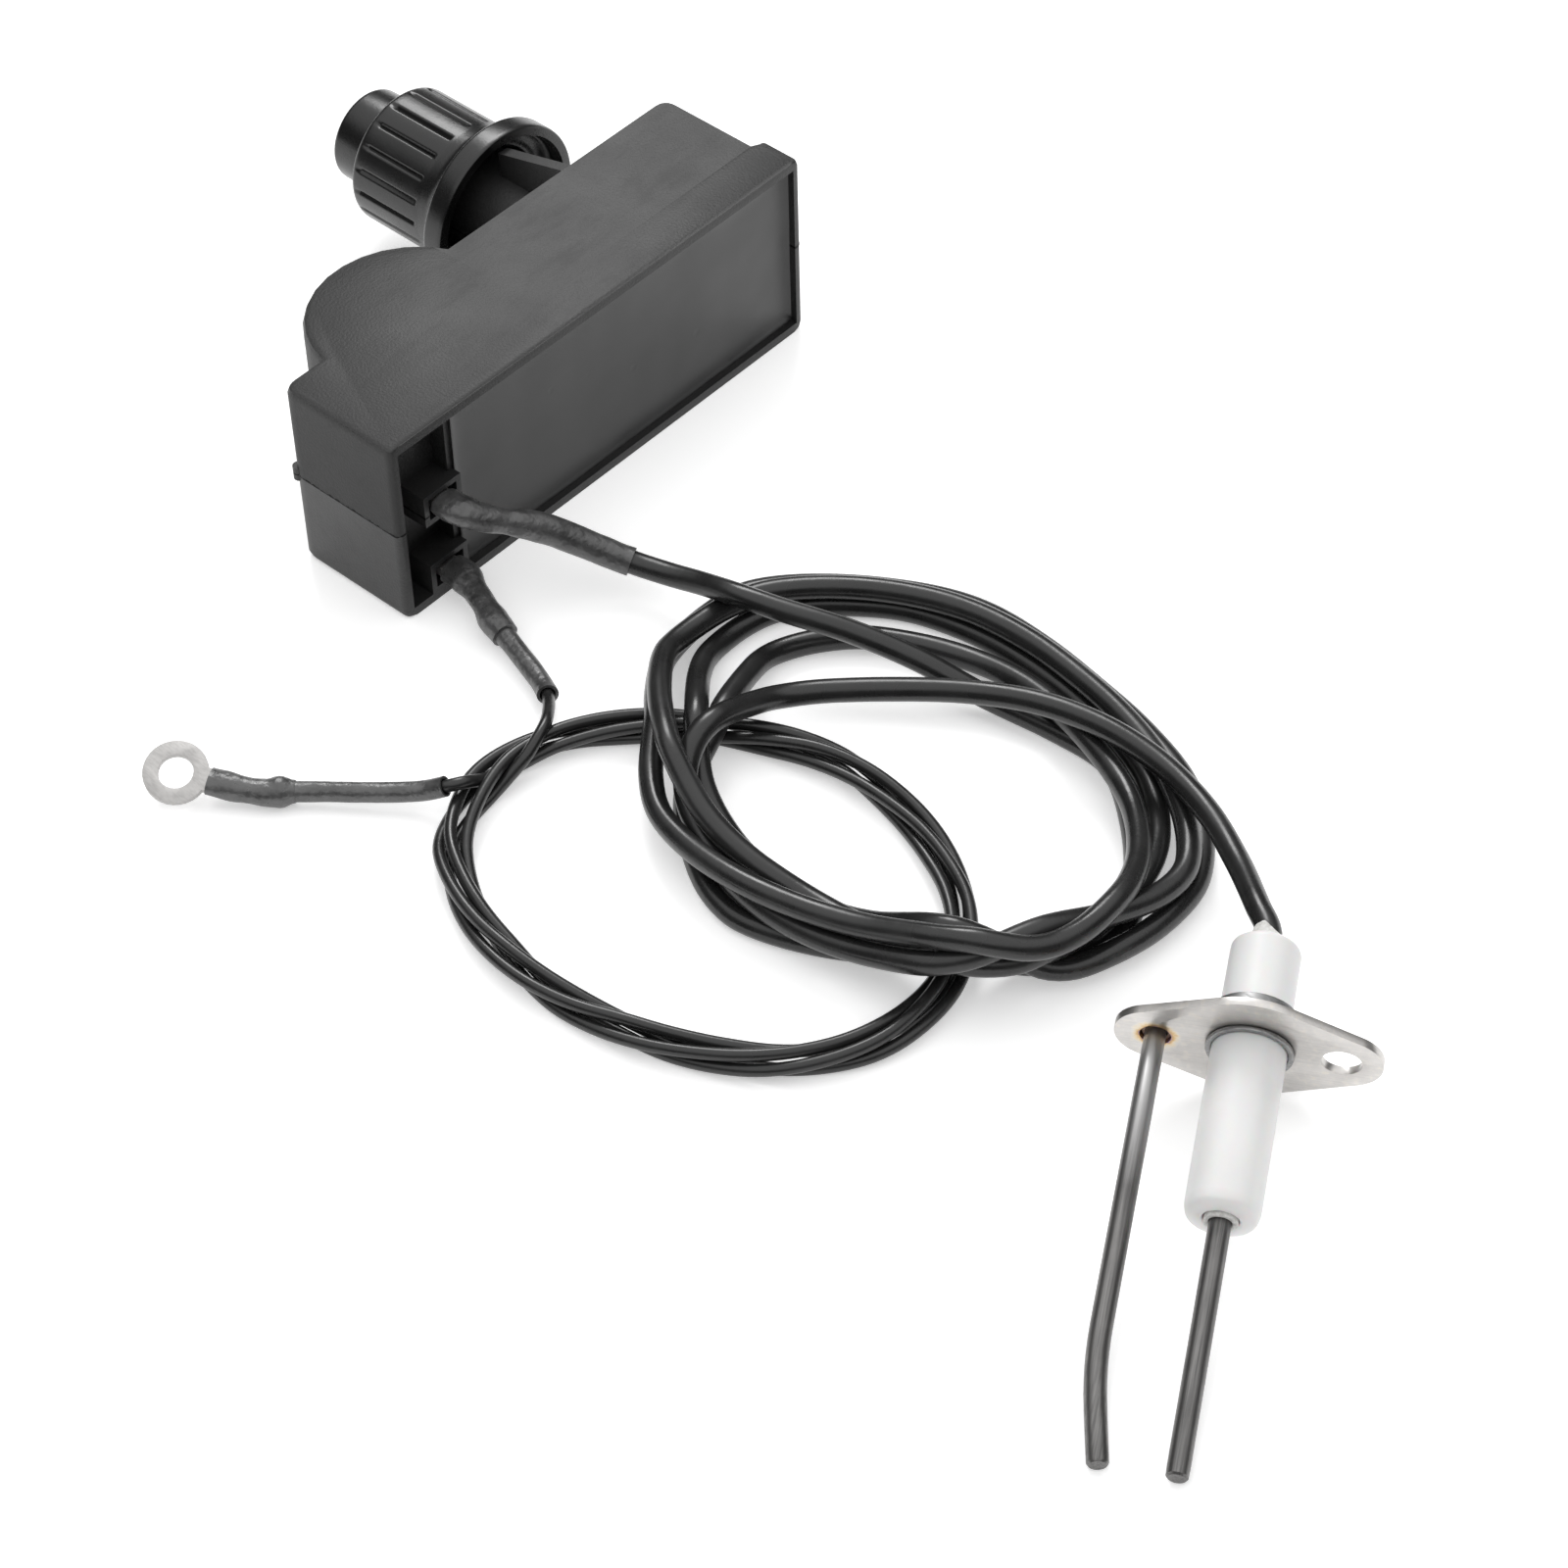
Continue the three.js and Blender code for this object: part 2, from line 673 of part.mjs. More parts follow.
// The thick lead: out of the upper socket, five loose turns, then over the coil to the
// electrode. Each block of stations is one turn.
const HIGH_STATIONS = [
  [HIGH_TAB.x, -9.7, HIGH_TAB.z], [HIGH_TAB.x, -11.3, 14.8], [-29, -12.8, 14.5],
  [-25.8, -15.4, 12.8], [-21.4, -18.6, 10.3], [-17.6, -22.9, 7.1], [-14.5, -28.2, 4.8],
  [-12.9, -35.6, 5.2], [-12.8, -43.1, 7.4], [-11.1, -48.8, 7.5], [-6, -61, 6], [-2.2, -73.2, 2.6],

  [0.2, -86, 1.5], [-0.8, -93.1, 1.5], [-7.1, -100.8, 1.5], [-14.8, -107.2, 1.5],
  [-23, -110.4, 1.5], [-28.3, -108.9, 1.5], [-31.6, -105.8, 2], [-38, -99.6, 4.5],
  [-41.4, -91.4, 2.7], [-46.5, -77.9, 1.5], [-46.4, -71.2, 1.5], [-37.2, -56.3, 2],
  [-30.4, -53.7, 5], [-21.1, -50.3, 3.4], [-12.8, -48.8, 1.5], [-3.9, -54.8, 1.5],

  [1.8, -69, 2], [-0.6, -85.2, 4.4], [-7.2, -100, 5.2], [-19, -108.7, 6.9],
  [-34, -108.5, 8.4], [-40.1, -102.5, 9.4], [-44.2, -90.3, 7.4], [-46.8, -74.7, 6],
  [-43.8, -58.9, 4.7], [-37.7, -51.6, 4.5], [-32, -47.3, 4.5], [-27.5, -43.1, 3.2],
  [-20.6, -38.9, 1.5], [-7.5, -39.2, 1.5], [2.4, -49.7, 1.5],

  [9, -63.5, 1.5], [7.7, -82.2, 1.5], [2.4, -100.8, 1.5], [-9.1, -110.8, 1.5],
  [-25.5, -109.7, 3.4], [-37.9, -100.9, 5.7], [-40.7, -86.2, 1.7], [-40.9, -72.9, 1.6],
  [-39.2, -65, 2.4], [-36.2, -58.8, 3.7], [-28.9, -52.2, 5.4], [-23.8, -47, 3.5],
  [-17.2, -42.9, 1.6], [-6.5, -43.7, 1.5], [3.1, -53.2, 1.5],

  [6.6, -65.4, 1.5], [5.6, -81.7, 1.5], [-0.3, -96.9, 1.5], [-13.9, -107.7, 3.8],
  [-27.3, -108.1, 3.8], [-40, -100, 7], [-42.4, -83.7, 4.4], [-43.6, -68.2, 5],
  [-41.1, -60.5, 7.5], [-38.3, -55.1, 9.4], [-30.7, -46.5, 7.6], [-22.9, -41, 5.1],
  [-10, -41.6, 4.5], [0.5, -51.5, 4.5],

  [6.4, -65.5, 4.5], [5.7, -83, 4.5], [0.3, -99.2, 4.5], [-10.6, -110.4, 4.5],
  [-25, -108.9, 6], [-39.4, -102.7, 8.5], [-44.4, -91, 5.8], [-46.5, -75.5, 3.2],
  [-41, -60.6, 4], [-36.6, -56.7, 7], [-31.8, -55.9, 8.6], [-19.7, -57.1, 5],
  [-9.4, -68, 5.4],

  [-3.2, -81, 7.4], [-1.1, -94, 8], [-2.3, -103, 8], [-5.2, -110.6, 8.4], [-9, -116.8, 9],
  [-12.1, -121.1, 10], [-14.6, -123.9, 10.9], electrodePoint(0, -15.2, 0),
  electrodePoint(0, -13.4, 0), electrodePoint(0, -9.4, 0),
];

// A lead's sampled path with its radius, the sleeves at its two ends included.
function leadAlong(stations, wire, startSleeve, endSleeve) {
  const points = sampled(stations);
  const sizes = points.map((_, i) => {
    const fromStart = i * SAMPLE;
    const fromEnd = (points.length - 1 - i) * SAMPLE;
    if (fromStart < startSleeve.length) return startSleeve.radius;
    return fromEnd < endSleeve.length ? endSleeve.radius : wire;
  });
  return { points, sizes };
}

const earthRun = settled(
  leadAlong(
    [...EARTH_START, ...earthLoopStations(), ...EARTH_END],
    EARTH_WIRE,
    { length: 27, radius: 1.4 },
    { length: 32, radius: 1.35 },
  ),
);
const highRun = settled(
  leadAlong(HIGH_STATIONS, HIGH_WIRE, { length: 27, radius: 1.95 }, { length: 0, radius: 0 }),
  earthRun,
);
const earthPath = earthRun.points;
const highPath = highRun.points;

// The stretch of a path between two lengths from its start.
function stretch(path, from, to) {
  return path.slice(Math.round(from / SAMPLE), Math.round(to / SAMPLE) + 1);
}

// The thick lead: its bare core first, then its insulation from the place where that
// starts inside the sleeve.
function highVoltageLead() {
  const bare = stretch(highPath, 4.5, 10.5);
  const sleeved = stretch(highPath, 12, 25.5);
  const rest = highPath.slice(Math.round(27 / SAMPLE));
  const path = [...bare, ...sleeved, ...thinned(rest, 14, 9)];
  return swept(path, 8, (t) => {
    const size = Math.round(t * (path.length - 1)) < bare.length ? HIGH_CORE : HIGH_WIRE;
    return [size, size];
  });
}

const RING_BARREL = 5;

function earthLead() {
  const beforeRing = Math.ceil(RING_BARREL / SAMPLE);
  const path = thinned(earthPath.slice(3, earthPath.length - beforeRing), 13, 6);
  return swept(path, 6, () => [EARTH_WIRE, EARTH_WIRE]);
}

// ---------------------------------------------------------------- sleeves and terminals

// Values listed along a length, joined by straight steps; at runs from 0 to 1.
function along(values, at) {
  const place = at * (values.length - 1);
  const i = Math.min(Math.floor(place), values.length - 2);
  return values[i] + (values[i + 1] - values[i]) * (place - i);
}

// A shrunk sleeve: outer and inner half sizes are listed along its length.
function sleeve(path, sides, outer, inner) {
  const outside = swept(path, sides, (t) => [along(outer.wide, t), along(outer.high, t)]);
  const first = path[0].clone().lerp(path[1], -0.3);
  const last = path[path.length - 1].clone().lerp(path[path.length - 2], -0.3);
  const longer = [first, ...path.slice(1, -1), last];
  const inside = swept(longer, sides, (t) => [along(inner.wide, t), along(inner.high, t)]);
  return outside.subtract(inside);
}

function highVoltageSleeve() {
  const path = stretch(highPath, 0, 25.5);
  const outer = {
    wide: [2.3, 2.25, 1.95, 1.55, 1.9, 1.95, 1.92, 1.88, 1.88, 1.88],
    high: [1.75, 1.8, 1.7, 1.55, 1.9, 1.95, 1.92, 1.88, 1.88, 1.88],
  };
  const inner = {
    wide: [1.95, 1.9, 1.4, 1.2, 1.65, 1.68, 1.68, 1.68, 1.68, 1.68],
    high: [1.5, 1.5, 1.35, 1.2, 1.65, 1.68, 1.68, 1.68, 1.68, 1.68],
  };
  return sleeve(path, 12, outer, inner);
}

function earthReceptacleSleeve() {
  const path = stretch(earthPath, 0, 13.5);
  const outer = { wide: [2.3, 2.2, 1.7, 1.9, 1.6], high: [1.75, 1.75, 1.5, 1.9, 1.6] };
  const inner = { wide: [1.95, 1.7, 1.2, 1.2, 1.2], high: [1.5, 1.4, 1.2, 1.2, 1.2] };
  return sleeve(path, 10, outer, inner);
}

function earthLeadSleeve() {
  const path = stretch(earthPath, 15, 25.5);
  const outer = { wide: [1.4, 1.35, 1.35], high: [1.4, 1.35, 1.35] };
  const inner = { wide: [1.02, 1.02], high: [1.02, 1.02] };
  return sleeve(path, 10, outer, inner);
}

function fromRing(from, to) {
  return stretch([...earthPath].reverse(), from, to);
}

function ringTerminalSleeve() {
  const outer = { wide: [1.95, 1.9, 1.65, 1.95, 1.4], high: [1.9, 1.8, 1.6, 1.95, 1.4] };
  const inner = { wide: [1.65, 1.4, 1.2, 1.2, 1.2], high: [1.65, 1.4, 1.2, 1.2, 1.2] };
  return sleeve(fromRing(0, 10.5), 10, outer, inner);
}

function ringLeadSleeve() {
  const outer = { wide: [1.35, 1.3, 1.3], high: [1.35, 1.3, 1.3] };
  const inner = { wide: [1.02, 1.02], high: [1.02, 1.02] };
  return sleeve(thinned(fromRing(12, 30), 8, 5), 10, outer, inner);
}

// A crimped push-on connector: a flat sheath over the tab and a round barrel behind it.
function receptacle(place) {
  const sheath = round(place, 1.4, 0.75, -10.6, -6.4);
  const slot = round(place, 1.15, 0.33, -10, -6);
  const barrel = moved(rod(0.9, -12.3, -10.4, 10), place.x, 0, place.z);
  return sheath.subtract(slot).add(barrel);
}

// The eye of the ring terminal lies in its own XY plane with the barrel along X.
function ringTerminal() {
  const thick = 0.8;
  const eye = new THREE.Shape();
  const outerRadius = 4;
  const neck = 1.5;
  const opening = Math.asin(neck / outerRadius);
  eye.absarc(0, 0, outerRadius, opening, 2 * Math.PI - opening, false);
  eye.lineTo(6, -1.3);
  eye.lineTo(6, 1.3);
  eye.closePath();
  const hole = new THREE.Path();
  hole.absarc(0, 0, 2.15, 0, 2 * Math.PI, true);
  eye.holes.push(hole);
  const plate = prism(eye, -thick / 2, thick / 2, 14);
  const barrel = rod(0.85, 5.4, RING_BARREL + 4.4 - 1, 10).rotate([0, 0, -90]);
  return joined(plate, barrel);
}

// ---------------------------------------------------------------- electrode

const PLATE = { thick: 1, openHole: -10.1, rodHole: 10.5, lobe: 4.6, waist: 8.95 };
const CERAMIC = { upper: 4.05, lower: 4.2, top: -13.5, bottom: 21.9 };
const ROD = 1.25;
const ROD_HOLE = 1.8;

// The outline of the flange: two round lobes joined to a round middle by tangent lines.
function flangePlate() {
  const shape = new THREE.Shape();
  const lean = (distance) => Math.acos((PLATE.waist - PLATE.lobe) / Math.abs(distance));
  const right = lean(PLATE.rodHole);
  const left = lean(PLATE.openHole);
  shape.absarc(PLATE.rodHole, 0, PLATE.lobe, -right, right, false);
  shape.absarc(0, 0, PLATE.waist, right, Math.PI - left, false);
  shape.absarc(PLATE.openHole, 0, PLATE.lobe, Math.PI - left, Math.PI + left, false);
  shape.absarc(0, 0, PLATE.waist, Math.PI + left, 2 * Math.PI - right, false);
  shape.closePath();
  const cut = (x, radius) => {
    const hole = new THREE.Path();
    hole.absarc(x, 0, radius, 0, 2 * Math.PI, true);
    shape.holes.push(hole);
  };
  cut(PLATE.openHole, 2.3);
  cut(0, CERAMIC.lower + 0.08);
  cut(PLATE.rodHole, ROD_HOLE);
  return prism(shape, 0, PLATE.thick, 10).rotate([90, 0, 0]);
}

function ceramicInsulator() {
  const { upper, lower, top, bottom } = CERAMIC;
  const profile = [
    [2.1, top],
    [upper - 0.7, top],
    [upper, top + 0.7],
    [upper, -1.2],
    [lower, -1],
    [lower, bottom - 1.6],
    [lower - 0.4, bottom - 0.6],
    [lower - 1.4, bottom],
    [2, bottom],
    [2, bottom - 1.5],
    [ROD + 0.12, bottom - 1.5],
    [ROD + 0.12, -4],
    [2.1, -4],
    [2.1, top],
  ];
  return turned(profile, 30);
}

function upperCollar() {
  return ring(CERAMIC.lower + 0.1, 4.95, -PLATE.thick - 3.4, -PLATE.thick - 0.05, 30);
}

function lowerRetainingRing() {
  return ring(CERAMIC.lower + 0.1, 4.95, 0.05, 0.55, 30);
}

function sparkRod() {
  const tip = 52.6;
  return turned([[0, -4.6], [ROD, -4.6], [ROD, tip - 0.3], [ROD - 0.3, tip], [0, tip]], 16);
}

function crimpFerrule() {
  return rod(1.7, -8, -4.8, 14);
}

function earthRod() {
  const bendAt = 41.4;
  const lean = degrees(11.3);
  const beyond = 11.4;
  const easing = 5;
  const x = PLATE.rodHole;
  const straight = [-2.4, -1.8, 10, 25, bendAt - easing].map((y) => new THREE.Vector3(x, y, 0));
  const arc = Array.from({ length: 6 }, (_, i) => {
    const turn = (lean * (i + 1)) / 6;
    const radius = easing / Math.tan(lean / 2);
    const across = radius * (1 - Math.cos(turn));
    return new THREE.Vector3(x - across, bendAt - easing + radius * Math.sin(turn), 0);
  });
  const corner = arc[arc.length - 1];
  const heading = new THREE.Vector3(-Math.sin(lean), Math.cos(lean), 0);
  const tip = corner.clone().addScaledVector(heading, beyond - easing);
  const shoulder = tip.clone().addScaledVector(heading, -0.3);
  const path = [...straight, ...arc, shoulder, tip];
  const sizes = path.map((_, i) => (i === 0 || i === path.length - 1 ? ROD - 0.3 : ROD));
  return swept(path, 14, (t) => {
    const size = sizes[Math.round(t * (path.length - 1))];
    return [size, size];
  });
}

// The weld fills the hole round the earth rod from behind and stands out at the back.
function weldBead() {
  const inner = ROD + 0.06;
  const plug = ROD_HOLE - 0.08;
  const back = -PLATE.thick - 0.05;
  const hole = [[inner, -0.45], [plug, -0.5], [plug, back]];
  const mound = [[2.7, back], [2.4, back - 0.5], [1.8, back - 0.85], [inner, back - 0.9]];
  return moved(turned([...hole, ...mound, hole[0]], 20), PLATE.rodHole, 0, 0);
}

function entryCement() {
  const { top } = CERAMIC;
  const inner = HIGH_WIRE + 0.25;
  const dome = [[inner, top - 1.2], [2.1, top - 1.05], [2.45, top - 0.5], [2.5, top - 0.05]];
  const plug = [[2.03, top - 0.05], [2.03, top + 2], [inner, top + 2], dome[0]];
  return turned([...dome, ...plug], 18);
}

function exitCement() {
  const { bottom } = CERAMIC;
  const inner = ROD + 0.06;
  const plug = [[inner, bottom - 1.45], [1.95, bottom - 1.45], [1.95, bottom - 0.1]];
  const dome = [[1.6, bottom + 0.3], [inner, bottom + 0.35], plug[0]];
  return turned([...plug, ...dome], 18);
}

// ---------------------------------------------------------------- assembly

const set = new THREE.Group();
set.name = "spark_igniter_set";

set.add(
  named("housing", housing(), blackPlastic),
  named("potting", potting(), resin),
  named("circuit_board", circuitBoard(), boardLaminate),
  named("high_voltage_transformer", highVoltageTransformer(), windingCopper),
  named("charging_coil", chargingCoil(), windingCopper),
  named("storage_capacitor", storageCapacitor(), componentPlastic),
  named("switching_transistor", switchingTransistor(), componentPlastic),
  named("high_voltage_tab", tab(HIGH_TAB), tinnedBrass),
  named("earth_tab", tab(EARTH_TAB), tinnedBrass),
  named("aaa_cell", cell(), cellJacket),
  named("rear_contact_spring", rearContactSpring(), springSteel),
  named("contact_strip", contactStrip(), tinnedBrass),
  named("ribbed_cap", ribbedCap(), capPlastic),
  named("push_button", pushButton(), capPlastic),
  named("return_spring", returnSpring(), springSteel),
  named("button_contact", buttonContact(), tinnedBrass),
  named("high_voltage_receptacle", receptacle(HIGH_TAB), tinnedBrass),
  named("high_voltage_sleeve", highVoltageSleeve(), sleevePlastic),
  named("high_voltage_lead", highVoltageLead(), leadRubber),
  named("earth_receptacle", receptacle(EARTH_TAB), tinnedBrass),
  named("earth_receptacle_sleeve", earthReceptacleSleeve(), sleevePlastic),
  named("earth_lead_sleeve", earthLeadSleeve(), sleevePlastic),
  named("earth_lead", earthLead(), leadRubber),
  named("ring_terminal_sleeve", ringTerminalSleeve(), sleevePlastic),
  named("ring_lead_sleeve", ringLeadSleeve(), sleevePlastic),
);

const eye = named("ring_terminal", ringTerminal(), tinnedBrass);
eye.position.set(RING.x, RING.y, RING.z);
eye.rotation.set(degrees(RING.roll), degrees(RING.pitch), degrees(RING.yaw), "ZYX");
set.add(eye);

const electrode = new THREE.Group();
electrode.name = "electrode";
electrode.position.set(ELECTRODE.x, ELECTRODE.y, ELECTRODE.z);
electrode.rotation.set(degrees(ELECTRODE.dip), 0, degrees(ELECTRODE.turn), "ZXY");
electrode.add(
  named("flange_plate", flangePlate(), platedSteel),
  named("ceramic_insulator", ceramicInsulator(), whiteCeramic),
  named("upper_collar", upperCollar(), platedSteel),
  named("lower_retaining_ring", lowerRetainingRing(), platedSteel),
  named("spark_rod", sparkRod(), rodSteel),
  named("crimp_ferrule", crimpFerrule(), tinnedBrass),
  named("earth_rod", earthRod(), rodSteel),
  named("weld_bead", weldBead(), weldMetal),
  named("entry_cement", entryCement(), cementGrey),
  named("exit_cement", exitCement(), cementGrey),
);
set.add(electrode);

export default set;
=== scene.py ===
"""Looks of the spark igniter set: module with cap and button, two coiled leads, electrode.

Everything is in metres in the CAD frame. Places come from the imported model, and the fine
pieces stand for the CAD nodes that they are drawn round.
"""

import json
import math

import bmesh
import bpy
import numpy as np
from mathutils import Matrix, Vector, noise


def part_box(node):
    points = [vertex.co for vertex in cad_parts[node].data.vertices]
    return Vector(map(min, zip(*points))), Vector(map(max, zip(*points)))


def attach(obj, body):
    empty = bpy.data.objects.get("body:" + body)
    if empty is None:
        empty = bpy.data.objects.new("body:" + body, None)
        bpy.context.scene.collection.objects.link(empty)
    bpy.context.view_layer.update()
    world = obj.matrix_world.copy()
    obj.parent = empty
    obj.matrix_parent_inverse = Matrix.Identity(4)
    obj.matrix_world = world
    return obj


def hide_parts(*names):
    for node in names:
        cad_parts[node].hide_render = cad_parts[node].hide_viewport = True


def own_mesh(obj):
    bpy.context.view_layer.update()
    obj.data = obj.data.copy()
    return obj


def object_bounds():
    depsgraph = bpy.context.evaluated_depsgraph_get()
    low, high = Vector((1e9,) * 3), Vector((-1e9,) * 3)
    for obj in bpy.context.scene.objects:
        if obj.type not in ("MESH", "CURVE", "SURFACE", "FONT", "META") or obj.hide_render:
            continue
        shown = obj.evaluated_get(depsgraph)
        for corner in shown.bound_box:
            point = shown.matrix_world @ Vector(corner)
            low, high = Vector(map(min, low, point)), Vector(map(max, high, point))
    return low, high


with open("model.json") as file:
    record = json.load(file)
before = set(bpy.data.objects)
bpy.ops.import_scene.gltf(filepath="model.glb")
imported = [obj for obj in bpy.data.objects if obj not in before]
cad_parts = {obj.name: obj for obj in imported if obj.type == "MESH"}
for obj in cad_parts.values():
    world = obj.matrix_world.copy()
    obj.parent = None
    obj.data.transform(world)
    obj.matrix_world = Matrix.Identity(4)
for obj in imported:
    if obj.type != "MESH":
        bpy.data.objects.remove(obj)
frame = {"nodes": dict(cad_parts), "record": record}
bpy.context.view_layer.update()
cad_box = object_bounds()

MM = 0.001
SAME_PLACE = 1e-6
SMOOTH_ANGLE = math.radians(38)
BEVEL_ANGLE = math.radians(40)
UP = Vector((0, 0, 1))
NODES = frame["nodes"]


# ---------------------------------------------------------------- material nodes


class Net:
    """One material and the nodes added to it."""

    def __init__(self, name):
        self.material = bpy.data.materials.new(name)
        self.material.use_nodes = True
        self.tree = self.material.node_tree
        self.shader = self.tree.nodes["Principled BSDF"]
        self.place = self.node("ShaderNodeTexCoord").outputs["Object"]

    def feed(self, socket, value):
        if isinstance(value, bpy.types.NodeSocket):
            self.tree.links.new(value, socket)
        else:
            socket.default_value = value

    def node(self, kind, settings=None, **inputs):
        made = self.tree.nodes.new(kind)
        for key, value in (settings or {}).items():
            setattr(made, key, value)
        for key, value in inputs.items():
            self.feed(made.inputs[key.replace("_", " ")], value)
        return made

    def set(self, **inputs):
        for key, value in inputs.items():
            self.feed(self.shader.inputs[key.replace("_", " ")], value)

    def turned(self, across, along, third):
        """Coordinates along three given directions instead of X, Y and Z."""
        parts = [
            self.node("ShaderNodeVectorMath", {"operation": "DOT_PRODUCT"})
            for _ in range(3)
        ]
        for part, direction in zip(parts, (across, along, third)):
            self.feed(part.inputs[0], self.place)
            part.inputs[1].default_value = direction
        x, y, z = [part.outputs["Value"] for part in parts]
        return self.node("ShaderNodeCombineXYZ", X=x, Y=y, Z=z).outputs[0]

    def noise(self, size, detail=3.0, roughness=0.55, place=None, stretch=(1, 1, 1)):
        """Soft noise whose spots are about size metres wide."""
        scaled = self.node("ShaderNodeMapping", Vector=place or self.place)
        scaled.inputs["Scale"].default_value = [1 / (size * s) for s in stretch]
        grain = self.node(
            "ShaderNodeTexNoise",
            Vector=scaled.outputs[0],
            Scale=1.0,
            Detail=detail,
            Roughness=roughness,
        )
        return grain.outputs["Fac"]

    def spots(self, size):
        """Distance to the nearest of scattered points about size metres apart."""
        scaled = self.node("ShaderNodeMapping", Vector=self.place)
        scaled.inputs["Scale"].default_value = [1 / size] * 3
        cells = self.node("ShaderNodeTexVoronoi", Vector=scaled.outputs[0], Scale=1.0)
        return cells.outputs["Distance"]

    def ramp(self, factor, stops):
        made = self.node("ShaderNodeValToRGB", Fac=factor)
        elements = made.color_ramp.elements
        while len(elements) < len(stops):
            elements.new(0.5)
        for element, (position, colour) in zip(elements, stops):
            element.position = position
            element.color = (*colour, 1.0)
        return made.outputs["Color"]

    def steps(self, factor, low, high, start=0.0, end=1.0):
        """A factor between start and end, carried over to the range from low to high."""
        made = self.node("ShaderNodeMapRange", Value=factor)
        for key, value in zip(("From Min", "From Max", "To Min", "To Max"), (start, end, low, high)):
            made.inputs[key].default_value = value
        return made.outputs["Result"]

    def mix(self, factor, first, second):
        made = self.node("ShaderNodeMix", {"data_type": "RGBA"})
        self.feed(made.inputs[0], factor)
        self.feed(made.inputs[6], first if not isinstance(first, tuple) else (*first, 1.0))
        self.feed(made.inputs[7], second if not isinstance(second, tuple) else (*second, 1.0))
        return made.outputs[2]

    def maths(self, operation, first, second=0.0):
        made = self.node("ShaderNodeMath", {"operation": operation})
        self.feed(made.inputs[0], first)
        self.feed(made.inputs[1], second)
        return made.outputs[0]

    def distance(self, point):
        made = self.node("ShaderNodeVectorMath", {"operation": "DISTANCE"})
        self.feed(made.inputs[0], self.place)
        made.inputs[1].default_value = point
        return made.outputs["Value"]

    def bump(self, height, depth, before=None):
        """A bump of depth metres where height runs from 0 to 1."""
        made = self.node("ShaderNodeBump", Height=height, Distance=depth, Strength=1.0)
        if before is not None:
            self.feed(made.inputs["Normal"], before)
        return made.outputs["Normal"]


def grey(value, warm=0.0):
    return (value * (1 + warm), value, value * (1 - warm))


def moulded_plastic(name, shade, rough, grain, specular=0.5, wear=0.25, seam=None):
    """Injection-moulded plastic: soft cloudy shade, fine spark-eroded grain, light rubs.

    The dark, slightly ragged line where the two halves of the mould met lies at seam's height.
    """
    net = Net(name)
    cloud = net.noise(9 * MM, 4)
    fine = net.noise(0.35 * MM, 3)
    rub = net.noise(3.2 * MM, 6, 0.7, stretch=(3, 1, 1))
    base = net.ramp(cloud, [(0.3, grey(shade * 0.86)), (0.7, grey(shade * 1.14))])
    marked = net.mix(net.steps(rub, 0, wear, 0.58, 0.75), base, grey(shade * 1.8))
    rubbed = net.steps(rub, 0, 0.06, 0.5, 0.8)
    net.set(Roughness=net.maths("ADD", net.steps(cloud, rough - 0.06, rough + 0.06), rubbed))
    net.set(Base_Color=marked, Specular_IOR_Level=specular)
    if seam is not None:
        height = net.node("ShaderNodeSeparateXYZ", Vector=net.place).outputs["Z"]
        gap = net.maths("ABSOLUTE", net.maths("SUBTRACT", height, seam))
        line = net.maths("LESS_THAN", gap, net.steps(net.noise(MM, 3), 0, 0.2 * MM, 0.3, 0.6))
        net.set(Base_Color=net.mix(line, marked, grey(0.002)))
        net.set(Specular_IOR_Level=net.steps(line, specular, 0.1))
    normal = net.bump(fine, grain)
    net.set(Normal=net.bump(net.noise(4 * MM, 2), 0.03 * MM, normal))
    return net.material


def cast_resin():
    """Poured potting resin: glossy, slow waves, faint cloudy patches and a few dimples."""
    net = Net("cast_resin")
    cloud = net.noise(14 * MM, 3)
    patch = net.noise(6 * MM, 2, 0.5, stretch=(1.6, 1, 0.8))
    base = net.ramp(cloud, [(0.3, grey(0.01)), (0.7, grey(0.014))])
    net.set(Base_Color=net.mix(net.steps(patch, 0, 0.3, 0.55, 0.8), base, grey(0.02)))
    net.set(Roughness=net.steps(patch, 0.28, 0.33, 0.3, 0.8), Specular_IOR_Level=0.5)
    dimples = net.steps(net.spots(6 * MM), 0, 1, 0.02, 0.12)
    normal = net.bump(net.noise(11 * MM, 1), 0.35 * MM)
    net.set(Normal=net.bump(dimples, 0.03 * MM, normal))
    return net.material


def lead_rubber(name, shade, rough):
    """Extruded silicone: satin, with dust, faint rubs and a very fine drawn grain."""
    net = Net(name)
    cloud = net.noise(6 * MM, 3)
    dust = net.noise(0.5 * MM, 5, 0.7)
    base = net.ramp(cloud, [(0.3, grey(shade * 0.8)), (0.75, grey(shade * 1.3))])
    net.set(Base_Color=net.mix(net.steps(dust, 0, 0.22, 0.62, 0.8), base, grey(shade * 5)))
    net.set(Roughness=net.steps(cloud, rough - 0.05, rough + 0.09, 0.3, 0.7))
    net.set(Specular_IOR_Level=0.5)
    net.set(Normal=net.bump(net.noise(0.9 * MM, 4), 0.02 * MM))
    return net.material


def shrunk_sleeve():
    """Heat-shrink sleeving: satin, puckered by the heat."""
    net = Net("shrunk_sleeve")
    cloud = net.noise(3 * MM, 4)
    pucker = net.noise(0.8 * MM, 3, 0.6)
    net.set(Base_Color=net.ramp(cloud, [(0.3, grey(0.03)), (0.75, grey(0.085))]))
    net.set(Roughness=net.steps(pucker, 0.26, 0.42, 0.3, 0.7), Specular_IOR_Level=0.9)
    normal = net.bump(pucker, 0.12 * MM)
    net.set(Normal=net.bump(net.noise(2.5 * MM, 2), 0.3 * MM, normal))
    return net.material


